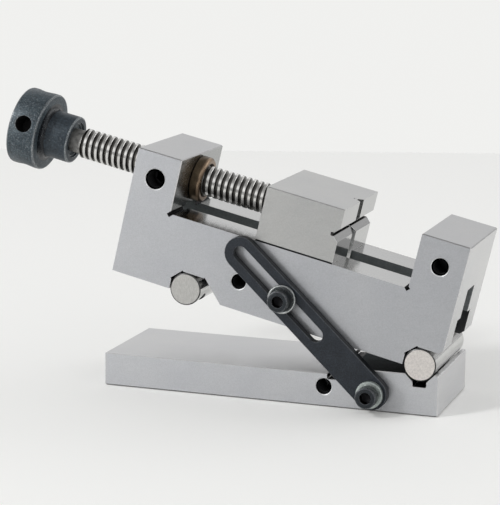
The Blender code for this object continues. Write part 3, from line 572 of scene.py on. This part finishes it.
def dressed(node, name, looks, paint, body, place, bevel=0.0, flares=(), chamfers=()):
    """A CAD node's own solid with a look for each kind of face.

    Flares are cutters, chamfers are (width, look, choice of edges), and bevel is the width on
    the sharp edges that are left.
    """
    shape = solid_copy(node, place)
    for face in shape.faces:
        face.material_index = 0
    if flares:
        shape = carve(shape, flares)
    flatten(shape)
    for face in shape.faces:
        if face.material_index == 0:
            face.material_index = looks.index(paint(face.calc_center_median(), face.normal))
    for width, look, chosen in chamfers:
        edge_bevel(shape, width, looks.index(look), chosen)
    if bevel:
        edge_bevel(shape, bevel, looks.index("edge"))
    mesh = bpy.data.meshes.new(name)
    shape.to_mesh(mesh)
    smooth = [face.smooth for face in shape.faces]
    shape.free()
    mesh.transform(place)
    stale = mesh.attributes.get("custom_normal")
    if stale:
        mesh.attributes.remove(stale)
    mesh.set_sharp_from_angle(angle=radians(35.0))
    mesh.polygons.foreach_set("use_smooth", smooth)
    new_object(name, mesh, looks, body, (node,))
    return mesh


def flare(hole, paint):
    """A chamfer cutter for the mouth of a side hole."""
    width, proud, inside = 0.0004, 0.0004, 0.0001
    rows = [(hole.radius - inside, -width, paint), (hole.radius + width + proud, proud, paint)]
    return finish_mesh(lathe(rows, 48), "flare", along((hole.x, FRONT, hole.z), OUTWARD))


def tapped_sleeve(name, hole, place, body):
    """The cut thread in a side hole, as a thin sleeve against its wall."""
    lead, end_room = 0.0006, 0.0012
    major, minor = hole.radius - 0.00002, hole.radius - 0.55 * hole.pitch
    profile = [(0.0, major, 0), (0.42, minor, 0), (0.58, minor, 0)]
    shape = helix(profile, hole.pitch, hole.depth - end_room, columns=40)
    lay = place @ along((hole.x, FRONT + lead, hole.z), INWARD)
    mesh = finish_mesh(shape, name, lay, smooth_angle=25.0)
    new_object(name, mesh, ["tapped"], body)


# Vise body, base plate, jaw and rollers


def near(value, target, slack=0.0004):
    return abs(value - target) < slack


def at_side(centre):
    return abs(centre.y) > WIDTH / 2 - 0.0001


def at_front(middle):
    return middle.y < FRONT + 0.0004


# A face's look goes by where its middle lies and where its normal points: over 0.9 is along an axis


def paint_body(centre, normal):
    bore_reach, bore_zone, slot_reach, notch_top = 0.01205, 0.010, 0.0080, 0.012
    if abs(normal.y) > 0.9 and at_side(centre):
        return "side"
    if abs(centre.y) < bore_reach and near(centre.z, SPINDLE_HEIGHT, bore_zone) and abs(normal.x) < 0.5:
        return "channel"
    if normal.z > 0.95:
        if near(centre.z, RAIL_TOP):
            return "rail"
        return "top" if near(centre.z, JAW_TOP) else "recess"
    if abs(normal.x) > 0.95:
        if near(centre.x, BLOCK_RIGHT) or near(centre.x, FIXED_JAW_FACE):
            return "inner"
        # The right end takes the end look, painted lighter for the light it catches
        if near(centre.x, BODY_RIGHT):
            return "end"
        return "side" if near(centre.x, BODY_LEFT) else "notch"
    if abs(normal.y) > 0.9:
        return "slot" if abs(centre.y) < slot_reach else "channel"
    if normal.z < -0.9:
        if centre.z > notch_top:
            return "channel"
        # The body's underside takes the under look, painted dark as shade
        return "under" if centre.z < 0.0 else "notch"
    return "notch" if centre.z < 0.009 else "recess"


def body_and_holes():
    looks = ["side", "rail", "inner", "top", "end", "under", "slot", "channel", "recess", "notch"]
    looks += ["crease", "edge", "rim"]
    flares = [flare(hole, looks.index("rim")) for hole in BODY_HOLES]
    chamfers = [
        (0.00035, "crease", lambda middle: near(middle.z, JAW_TOP)),
        (0.0003, "edge", lambda middle: near(middle.x, BLOCK_RIGHT) or near(middle.x, BODY_RIGHT)),
    ]
    dressed(
        "vise_body", "vise_body_ground", looks, paint_body, "vise", BODY,
        flares=flares, chamfers=chamfers,
    )
    for index, hole in enumerate(BODY_HOLES):
        tapped_sleeve(f"body_thread_{index}", hole, BODY, "vise")


def paint_plate(centre, normal):
    slack = 0.0005
    if abs(normal.y) > 0.9:
        return "plate_side"
    if normal.z > 0.9:
        # The raised top under the body takes painted shade
        if centre.z > PLATE_LOW + slack and centre.x < PIVOT.x:
            return "plate_rise_painted_shade"
        return "plate_top" if centre.z > PLATE_LOW - slack else "recess"
    if abs(normal.x) > 0.9:
        # The right end takes the end look, painted lighter for the light it catches
        if near(centre.x, PLATE_RIGHT, 2 * slack):
            return "plate_end_painted_light"
        return "plate_side" if near(centre.x, -PLATE_RIGHT, 2 * slack) else "recess"
    return "under" if normal.z < -0.9 else "notch"


def plate_and_holes():
    looks = ["plate_side", "plate_top", "plate_rise_painted_shade", "plate_end_painted_light", "recess", "under", "notch"]
    looks += ["line", "seam", "edge", "rim"]
    chamfers = [
        # The foot chamfer takes the dark line look, a painted shadow along the floor
        (0.0005, "line", lambda middle: middle.z < 0.0001),
        (0.00025, "seam", lambda middle: middle.z > PLATE_LOW - 0.0005 and at_front(middle)),
    ]
    dressed(
        "base_plate", "base_plate_ground", looks, paint_plate, "base", WORLD,
        bevel=0.00025, flares=[flare(PLATE_HOLE, looks.index("rim"))], chamfers=chamfers,
    )
    tapped_sleeve("plate_thread", PLATE_HOLE, WORLD, "base")


def paint_jaw(centre, normal):
    side_reach, vee_depth, groove_depth = 0.023, 0.0030, 0.0046
    if abs(normal.y) > 0.9 and abs(centre.y) > side_reach:
        return "jaw_side"
    if normal.z > 0.9 and near(centre.z, JAW_TOP):
        return "jaw_top"
    if normal.x > 0.9 and near(centre.x, JAW_FACE):
        return "jaw_face"
    if normal.x < -0.9 and near(centre.x, JAW_BACK):
        return "jaw_side"
    if centre.x > JAW_FACE - vee_depth and abs(normal.x) > 0.5:
        return "jaw_face"
    # Groove walls take painted light and groove floors take painted shade
    if centre.x > JAW_FACE - groove_depth and centre.z > RAIL_TOP:
        return "jaw_relief_painted_light" if abs(normal.y) > 0.9 else "jaw_slot_painted_shade"
    return "channel"


def paint_keeper(_, normal):
    return "under" if normal.z < -0.5 else "channel"


def jaw():
    """The movable jaw, with its sole let down near the rail, and the keeper under the rail."""
    sole, drop = RAIL_TOP + GAP, 0.00022
    looks = ["jaw_side", "jaw_top", "jaw_face", "jaw_slot_painted_shade", "jaw_relief_painted_light", "channel", "crease", "edge"]
    chamfers = [
        (0.00025, "crease", lambda middle: near(middle.z, JAW_TOP) and at_front(middle)),
        # The sole's front edge takes the dark channel look, a painted shadow where the jaw meets the rail
        (0.0004, "channel", lambda middle: near(middle.z, sole) and at_front(middle)),
    ]
    mesh = dressed(
        "movable_jaw", "movable_jaw_ground", looks, paint_jaw, "jaw", BODY,
        bevel=0.0002, chamfers=chamfers,
    )
    settle = BODY.to_3x3() @ Vector((0.0, 0.0, -drop))
    for vertex in mesh.vertices:
        if near((BODY.inverted() @ vertex.co).z, sole, 0.00005):
            vertex.co += settle
    looks = ["under", "channel", "edge"]
    dressed(
        "jaw_keeper", "jaw_keeper_ground", looks, paint_keeper, "jaw", BODY,
        bevel=0.0003,
    )


def roller_paint(x, face_look):
    """The choice of looks for the roller whose axis lies at x."""

    def paint(centre, normal):
        if abs(normal.y) > 0.95 and at_side(centre):
            return face_look
        # End chamfers take painted shade
        if 0.3 < abs(normal.y) < 0.95:
            return "roller_ring_painted_shade"
        return "roller_side" if hypot(centre.x - x, centre.z) > ROLLER_RADIUS - 0.0001 else "recess"

    return paint


def rollers():
    """Both rollers; the end faces are drawn in a little, which leaves a broader chamfer ring, painted dark
    as shade.
    """
    end_share = 0.975
    for end, x in ROLLERS:
        node, face_look = f"{end}_roller", f"{end}_end"
        looks = ["roller_side", "roller_ring_painted_shade", face_look, "recess"]
        paint = roller_paint(x, face_look)
        mesh = dressed(node, f"{node}_polished", looks, paint, "vise", BODY)
        for vertex in mesh.vertices:
            local = BODY.inverted() @ vertex.co
            if abs(local.y) > WIDTH / 2 - 0.00005:
                local.x, local.z = x + (local.x - x) * end_share, local.z * end_share
                vertex.co = BODY @ local


# Link, washers and screws


def paint_link(_, normal):
    # Walls take painted shade
    return "link" if abs(normal.y) > 0.9 else "link_edge" if abs(normal.y) > 0.3 else "link_wall_painted_shade"


def link():
    looks = ["link", "link_wall_painted_shade", "link_edge"]
    dressed("slotted_link", "slotted_link_black", looks, paint_link, "link", LINK)


def hex_radius(across):
    """A hexagon's radius at each angle, from its width across the flats."""

    def reach(turn):
        return across / 2 / cos((turn + pi / 6) % (pi / 3) - pi / 6)

    return reach


def cap_screw(node, size, reach, place, body, teeth=36):
    """A socket head cap screw with a knurled head; +Z runs out of the head, reach is the shank's."""
    radius, head_radius, head_height, socket = size
    socket_floor = head_height * 0.5
    columns = teeth * 2
    knurl, soft = 0.00009, 0.00035

    def grip(turn):
        return head_radius - (knurl if round(turn * columns / (2 * pi)) % 2 else 0.0)

    skin, edge, hole = range(3)
    rows = [
        (radius * 0.7, -reach, skin),
        (radius, -reach + radius * 0.3, skin),
        (radius, 0.0, skin),
        (head_radius - 0.0002, 0.0, edge),
        (grip, 0.0003, skin),
        (grip, head_height - 0.0008, edge),
        (head_radius - 0.00003, head_height - 0.0006, edge),
        (head_radius - 0.12 * soft, head_height - soft, edge),
        (head_radius - 0.5 * soft, head_height - 0.25 * soft, edge),
        (head_radius - 1.3 * soft, head_height, skin),
        (socket * 0.60 + 0.0001, head_height, edge),
        (socket * 0.575, head_height - 0.00025, hole),
        (hex_radius(socket), head_height - 0.0006, hole),
        (hex_radius(socket), socket_floor, hole),
        (socket * 0.2, socket_floor - 0.0003, hole),
    ]
    name = f"{node}_black"
    mesh = finish_mesh(lathe(rows, columns), name, place, smooth_angle=38.0)
    new_object(name, mesh, ["screw", "screw_edge", "socket"], body, (node,))


def washer(node, name, radius, thickness, place, body, looks, cup=0.0):
    """A flat washer, rounded at its rim; cup sinks the face inside the rim."""
    bore = 0.0028
    face, rim = range(2)
    rows = [
        (bore, 0.0, face),
        (radius - 0.00015, 0.0, rim),
        (radius, 0.00015, rim),
        (radius, thickness - 0.00025, rim),
        (radius - 0.00012, thickness - 0.00006, rim),
        (radius - 0.0004, thickness, rim),
        (radius - 0.0007, thickness - 0.00004, face),
        (radius - 0.0012, thickness - cup, face),
        (bore, thickness - cup, face),
    ]
    mesh = finish_mesh(lathe(rows, 72, closed=True), name, place)
    new_object(name, mesh, looks, body, (node,))


def link_fasteners():
    """The washers and screws at the link's pivot and in its slot."""
    low = along((LINK_PIVOT.x, WASHER_BACK, LINK_PIVOT.z), OUTWARD)
    high = along((CLAMP.x, WASHER_BACK, CLAMP.z), OUTWARD)
    low_thickness, high_thickness = 0.0020, 0.0010
    washer(
        "link_pivot_washer", "pivot_washer_zinc", 0.0054, low_thickness, low, "link",
        ["zinc", "zinc"],
    )
    washer(
        "link_clamp_washer", "clamp_washer_black", 0.0058, high_thickness, high, "link_clamp",
        ["dark_washer", "washer_rim"], cup=0.0002,
    )
    for node, thickness, base, grip, body in (
        ("link_pivot_screw", low_thickness, low, 0.012, "pivot_screw"),
        ("link_clamp_screw", high_thickness, high, 0.009, "clamp_screw"),
    ):
        seat = thickness + GAP
        lay = base @ Matrix.Translation((0.0, 0.0, seat)) @ Matrix.Rotation(radians(11.0), 4, "Z")
        cap_screw(node, M5, FRONT - WASHER_BACK + seat + grip, lay, body)


def hidden_fasteners():
    """The cap screws that hold the rollers and the keeper."""
    place_across, head_depth, grip = 0.018, 0.0009, 0.0075
    seat = -ROLLER_RADIUS + head_depth + M4.head_height - GAP
    out = Vector((1.0, 0.0, -1.0)).normalized()
    for end, x in ROLLERS:
        for side, y in (("near", -place_across), ("far", place_across)):
            lay = BODY @ along(Vector((x, y, 0.0)) - out * seat, out)
            reach = ROLLER_RADIUS + grip - seat - GAP
            cap_screw(f"{end}_roller_screw_{side}", M4, reach, lay, "vise", teeth=30)
    keeper_thickness, head_sink, grip = 0.0080, 0.0002, 0.0125
    seat = WIDE_SLOT_TOP - GAP - keeper_thickness + M5.head_height + head_sink
    for end, inset in (("front", 0.0093), ("rear", 0.0203)):
        lay = BODY @ along((JAW_FACE - inset, 0.0, seat), DOWNWARD)
        cap_screw(f"keeper_screw_{end}", M5, WIDE_SLOT_TOP + grip - seat, lay, "jaw")


# Spindle, nut and knob


def spindle():
    """The cut thread, with the neck and stub at its left end and the journal in the jaw."""
    place = BODY @ along((THREAD_LEFT, 0.0, SPINDLE_HEIGHT), RIGHTWARD)
    crest, root = THREAD_RADIUS, ROOT_RADIUS
    bright, dark = range(2)
    # The dark rows are painted shade in the thread's grooves
    profile = [
        (0.00, crest - 0.00012, bright),
        (0.04, crest, bright),
        (0.42, crest, bright),
        (0.46, crest - 0.00012, dark),
        (0.53, root + 0.0001, dark),
        (0.56, root, dark),
        (0.90, root, dark),
        (0.93, root + 0.0001, dark),
    ]
    shape = helix(profile, PITCH, THREAD_LENGTH, columns=56)
    mesh = finish_mesh(shape, "spindle_thread", place, smooth_angle=28.0)
    new_object("spindle_thread", mesh, ["crest", "root"], "screw", ("spindle",))
    core = root - 0.00005
    neck_end = -NECK_LENGTH - HUB_RECESS_DEPTH
    stub_end = neck_end - STUB_LENGTH
    journal_end = THREAD_LENGTH + JOURNAL_LENGTH
    outline = [
        (STUB_RADIUS - 0.0005, stub_end),
        (STUB_RADIUS, stub_end + 0.0005),
        (STUB_RADIUS, neck_end),
        (NECK_RADIUS, neck_end),
        (NECK_RADIUS, -0.0002),
        (core, 0.0),
        (core, THREAD_LENGTH),
        (JOURNAL_RADIUS, THREAD_LENGTH),
        (JOURNAL_RADIUS, THREAD_LENGTH + GROOVE_START),
        (GROOVE_RADIUS, THREAD_LENGTH + GROOVE_START),
        (GROOVE_RADIUS, THREAD_LENGTH + GROOVE_END),
        (JOURNAL_RADIUS, THREAD_LENGTH + GROOVE_END),
        (JOURNAL_RADIUS, journal_end - 0.0003),
        (JOURNAL_RADIUS - 0.0003, journal_end),
    ]
    rows = [(radius, height, 0) for radius, height in outline]
    mesh = finish_mesh(lathe(rows, 56), "spindle_core", place)
    new_object("spindle_core", mesh, ["neck"], "screw")


def quarter(steps):
    """The cosine and sine of each angle from 0 to a right angle."""
    turns = [pi / 2 * step / steps for step in range(steps + 1)]
    return [(cos(turn), sin(turn)) for turn in turns]


def nut():
    """The flanged nut, whose flange stands out of the block's right face."""
    place = BODY @ along((BLOCK_RIGHT, 0.0, SPINDLE_HEIGHT), RIGHTWARD)
    bore, flange, top, soft = THREAD_RADIUS + GAP, 0.0094, 0.0045, 0.0012
    # The bore and back take bronze painted dark, and the flange's side bronze painted darker: painted
    # shade
    face, dark, side = range(3)
    rows = [
        (bore, -NUT_LENGTH, dark),
        (NUT_RADIUS - 0.0002, -NUT_LENGTH, dark),
        (NUT_RADIUS, -NUT_LENGTH + 0.0002, dark),
        (NUT_RADIUS, GAP, side),
        (flange - 0.0001, GAP, side),
        (flange, GAP + 0.0002, side),
    ]
    rows += [(flange - soft + soft * c, top - soft + soft * s, face) for c, s in quarter(6)]
    rows += [
        (bore + 0.0006, top, dark),
        (bore + 0.0002, top - 0.0003, dark),
        (bore, top - 0.0008, dark),
    ]
    mesh = finish_mesh(lathe(rows, 80, closed=True), "nut_bronze", place)
    looks = ["bronze", "bronze_bore_painted_shade", "bronze_side_painted_shade"]
    new_object("nut_bronze", mesh, looks, "vise", ("screw_nut",))


def knob_solid():
    """The turned knob about Z: recess round the neck, hub, fillet and wide rim; +Z points to the jaw."""
    hub, rim = HUB_RADIUS, KNOB_RADIUS
    right = -HUB_LENGTH
    left = right - RIM_WIDTH
    bore, bore_floor = STUB_RADIUS + GAP, -0.0180
    step, step_floor = 0.0066, -0.0015
    recess, recess_floor = 0.0076, -0.0009
    dish, dish_depth, centre_mark = 0.0104, 0.0003, 0.0030
    soft, fillet = 0.0007, 0.0018
    skin, edge, _, hub_face, hub_fillet = range(5)
    rows = [
        (bore, bore_floor, skin),
        (bore, step_floor, skin),
        (step, step_floor, edge),
        (step + 0.0001, recess_floor, edge),
        (recess, recess_floor, skin),
        (recess, -0.0001, edge),
        (recess + 0.0001, 0.0, hub_face),
        (hub - soft, 0.0, edge),
        (hub - 0.3 * soft, -0.25 * soft, edge),
        (hub, -soft, hub_face),
    ]
    # The fillet takes painted shade
    rows += [(hub + fillet * (1 - c), right + fillet * (1 - s), hub_fillet) for c, s in quarter(6)]
    rows += [
        (hub + 0.0024, right, skin),
        (rim - soft, right, edge),
        (rim - 0.3 * soft, right - 0.25 * soft, edge),
        (rim, right - soft, skin),
        (rim, left + soft, edge),
        (rim - 0.3 * soft, left + 0.25 * soft, edge),
        (rim - soft, left, skin),
        (dish, left, edge),
        (dish - dish_depth, left + dish_depth, skin),
        (centre_mark, left + dish_depth, skin),
    ]
    return lathe(rows, 96)


def grub(stem, radius, length, socket, place, body, looks):
    """A set screw with a hexagon socket; +Z runs out of the socket."""
    skin, edge, hole = range(3)
    rows = [
        (radius * 0.7, -length, skin),
        (radius, radius * 0.3 - length, skin),
        (radius, -radius * 0.07, edge),
        (radius * 0.93, 0.0, skin),
        (socket * 0.62, 0.0, edge),
        (hex_radius(socket), -0.0002, hole),
        (hex_radius(socket), -length * 0.5, hole),
    ]
    name = f"{stem}_black"
    mesh = finish_mesh(lathe(rows, 48), name, place)
    new_object(name, mesh, looks, body, (f"{stem}_screw",))


def drill(radius, depth, mouth, columns, place):
    """A cutter for a hole in the knob, from the hole's floor to past its chamfered mouth."""
    edge, hole = 1, 2
    rows = [(radius, 0.0, hole), (radius, depth, edge), (radius + mouth, depth + mouth, edge)]
    return finish_mesh(lathe(rows, columns), "drill", place)


def knob():
    """The knob with four bar holes in its rim and a set screw's hole in its hub, and that screw."""
    place = BODY @ Matrix.Translation((THREAD_LEFT - NECK_LENGTH, 0.0, SPINDLE_HEIGHT))
    place = place @ Matrix.Rotation(pi / 2, 4, "Y")
    bar_holes, bar_hole_depth = 4, 0.0088
    rim_middle = -HUB_LENGTH - RIM_WIDTH / 2
    cutters = []
    for index in range(bar_holes):
        turn = KNOB_TURN + index * 2 * pi / bar_holes
        out = Vector((-sin(turn), -cos(turn), 0.0))
        start = out * (KNOB_RADIUS - bar_hole_depth) + Vector((0.0, 0.0, rim_middle))
        lay = along(start, out)
        cutters.append(drill(radius=0.0035, depth=0.0084, mouth=0.0010, columns=48, place=lay))
    lay = along((0.0, STUB_RADIUS, -KNOB_SCREW_PLACE), INWARD)
    cutters.append(drill(radius=0.0028, depth=0.0070, mouth=0.0005, columns=32, place=lay))
    mesh = finish_mesh(carve(knob_solid(), cutters), "knob_black", place, smooth_angle=30.0)
    looks = ["knob", "knob_edge", "knob_hole_painted_shade", "knob_hub", "knob_fillet_painted_shade"]
    new_object("knob_black", mesh, looks, "screw", ("knob",))
    head = (0.0, STUB_RADIUS + GAP + KNOB_SCREW_LENGTH, -KNOB_SCREW_PLACE)
    looks = ["screw", "screw_edge", "socket"]
    grub("knob_grub", 0.0025, KNOB_SCREW_LENGTH, 0.0025, place @ along(head, INWARD), "screw", looks)


def lock_screw():
    """The set screw on the nut, deep in the block's side hole."""
    head = (BLOCK_MIDDLE, -NUT_RADIUS - GAP - LOCK_SCREW_LENGTH, SPINDLE_HEIGHT)
    place = BODY @ along(head, OUTWARD)
    # Every face takes the black socket look, painted shade deep in the hole
    grub("nut_lock", 0.00385, LOCK_SCREW_LENGTH, 0.0040, place, "vise", ["socket"] * 3)


def pins():
    """The spindle pins keep their CAD solids and take the rollers' polish."""
    for side in ("near", "far"):
        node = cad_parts[f"spindle_pin_{side}"]
        node.data.materials.clear()
        node.data.materials.append(LOOKS["roller_side"])


# Camera, lamps and backdrop

AZIMUTH, ELEVATION, ROLL = 18.91, 10.91, 0.56
EYE = (0.23879, -0.74320, 0.20639)
LENS = 140.8
VISE_MIDDLE = (0.0, 0.0, 0.05)


def camera():
    """The photograph's camera: to the right of straight on, a little above, and slightly rolled."""
    data = bpy.data.cameras.new("camera")
    data.lens = LENS
    data.sensor_width = 36.0
    data.sensor_fit = "HORIZONTAL"
    data.clip_start, data.clip_end = 0.01, 20.0
    a, e, r = radians(AZIMUTH), radians(ELEVATION), radians(ROLL)
    forward = Vector((-sin(a) * cos(e), cos(a) * cos(e), -sin(e)))
    right = Vector((cos(a), sin(a), 0.0))
    up = right.cross(forward)
    right, up = cos(r) * right + sin(r) * up, cos(r) * up - sin(r) * right
    made = place_in_scene("camera", data)
    made.matrix_world = Matrix.Translation(EYE) @ Matrix((right, up, -forward)).transposed().to_4x4()
    bpy.context.scene.camera = made


def lamp(name, place, target, size, power):
    """A square area lamp at place that shines on target."""
    data = bpy.data.lights.new(name, "AREA")
    data.shape = "SQUARE"
    data.size = size
    data.energy = power
    out = Vector(place) - Vector(target)
    place_in_scene(name, data).matrix_world = along(Vector(place), out)


def rescaled(tree, socket, low, high):
    """The socket's value with low to high taken to 0 to 1."""
    made = tree.nodes.new("ShaderNodeMapRange")
    made.inputs["From Min"].default_value = low
    made.inputs["From Max"].default_value = high
    tree.links.new(socket, made.inputs["Value"])
    return made.outputs["Result"]


def grey_ramp(tree, socket, levels):
    """A grey from the socket's value, through (value, level) stops."""
    made = tree.nodes.new("ShaderNodeValToRGB")
    for _ in levels[2:]:
        made.color_ramp.elements.new(0.5)
    for stop, (place, level) in zip(made.color_ramp.elements, levels):
        stop.position = place
        stop.color = (*grey(level), 1.0)
    tree.links.new(socket, made.inputs["Fac"])
    return made.outputs["Color"]


def sky():
    """A studio in greys for the metal to mirror; the camera itself sees plain pale paper."""
    world = bpy.data.worlds.new("studio")
    world.use_nodes = True
    tree = world.node_tree
    tree.nodes.clear()
    coords = tree.nodes.new("ShaderNodeTexCoord")
    split = tree.nodes.new("ShaderNodeSeparateXYZ")
    tree.links.new(coords.outputs["Generated"], split.inputs["Vector"])
    upward = rescaled(tree, split.outputs["Z"], -1.0, 1.0)
    across = rescaled(tree, split.outputs["X"], -1.0, 1.0)
    by_height = ((0.44, 0.72), (0.52, 0.50), (0.61, 0.46), (0.66, 1.02), (0.80, 1.0), (0.93, 0.36))
    by_side = ((0.22, 1.05), (0.47, 0.28), (0.66, 0.28), (0.84, 1.2))

    # The sides are dimmed only low down in front, where both masks are 1
    in_front = rescaled(tree, split.outputs["Y"], 0.2, -0.4)
    low_down = rescaled(tree, split.outputs["Z"], 0.34, 0.14)
    both = tree.nodes.new("ShaderNodeMath")
    both.operation = "MULTIPLY"
    tree.links.new(in_front, both.inputs[0])
    tree.links.new(low_down, both.inputs[1])
    shade = tree.nodes.new("ShaderNodeMix")
    shade.inputs["A"].default_value = 1.0
    tree.links.new(both.outputs["Value"], shade.inputs["Factor"])
    tree.links.new(grey_ramp(tree, across, by_side), shade.inputs["B"])

    mirrored = tree.nodes.new("ShaderNodeBackground")
    tree.links.new(grey_ramp(tree, upward, by_height), mirrored.inputs["Color"])
    tree.links.new(shade.outputs["Result"], mirrored.inputs["Strength"])
    seen = tree.nodes.new("ShaderNodeBackground")
    seen.inputs["Color"].default_value = (0.875, 0.875, 0.860, 1.0)
    path = tree.nodes.new("ShaderNodeLightPath")
    choose = tree.nodes.new("ShaderNodeMixShader")
    out = tree.nodes.new("ShaderNodeOutputWorld")
    tree.links.new(path.outputs["Is Camera Ray"], choose.inputs["Fac"])
    tree.links.new(mirrored.outputs["Background"], choose.inputs[1])
    tree.links.new(seen.outputs["Background"], choose.inputs[2])
    tree.links.new(choose.outputs["Shader"], out.inputs["Surface"])
    bpy.context.scene.world = world


def paper():
    """Pale floor paper that glows a little for the camera only."""
    pale = bpy.data.materials.new("floor_paper")
    pale.use_nodes = True
    tree = pale.node_tree
    shader = tree.nodes["Principled BSDF"]
    shader.inputs["Base Color"].default_value = (0.87, 0.87, 0.855, 1.0)
    shader.inputs["Roughness"].default_value = 0.75
    shader.inputs["Specular IOR Level"].default_value = 0.2
    shader.inputs["Emission Color"].default_value = (1.0, 1.0, 0.985, 1.0)
    seen = tree.nodes.new("ShaderNodeLightPath")
    glow = tree.nodes.new("ShaderNodeMath")
    glow.operation = "MULTIPLY"
    glow.inputs[1].default_value = 0.09
    tree.links.new(seen.outputs["Is Camera Ray"], glow.inputs[0])
    tree.links.new(glow.outputs["Value"], shader.inputs["Emission Strength"])
    return pale


def floor():
    """A rectangle of paper in line with the camera, just under the base plate."""
    shape = bmesh.new()
    bmesh.ops.create_grid(shape, x_segments=1, y_segments=1, size=0.5)
    mesh = bpy.data.meshes.new("floor")
    shape.to_mesh(mesh)
    shape.free()
    made = place_in_scene("floor", mesh)
    far_end, near_end, breadth, below = 0.70, -0.60, 4.0, 0.0001
    made.matrix_world = (
        Matrix.Rotation(radians(AZIMUTH), 4, "Z")
        @ Matrix.Translation((0.0, (far_end + near_end) / 2, -below))
        @ Matrix.Diagonal((breadth, far_end - near_end, 1.0, 1.0))
    )
    mesh.materials.append(paper())


def lamps():
    lamp("key", (-1.43, -1.56, 1.53), VISE_MIDDLE, 0.40, 20.3)
    lamp("rake", (-2.16, -2.85, 0.50), VISE_MIDDLE, 0.18, 21.6)
    lamp("fill", (1.55, 1.20, 0.65), (0.05, 0.0, 0.05), 1.20, 5.4)


camera()
sky()
floor()
lamps()
bpy.context.scene.view_settings.view_transform = "Standard"
body_and_holes()
plate_and_holes()
jaw()
rollers()
link()
link_fasteners()
hidden_fasteners()
spindle()
nut()
knob()
lock_screw()
pins()
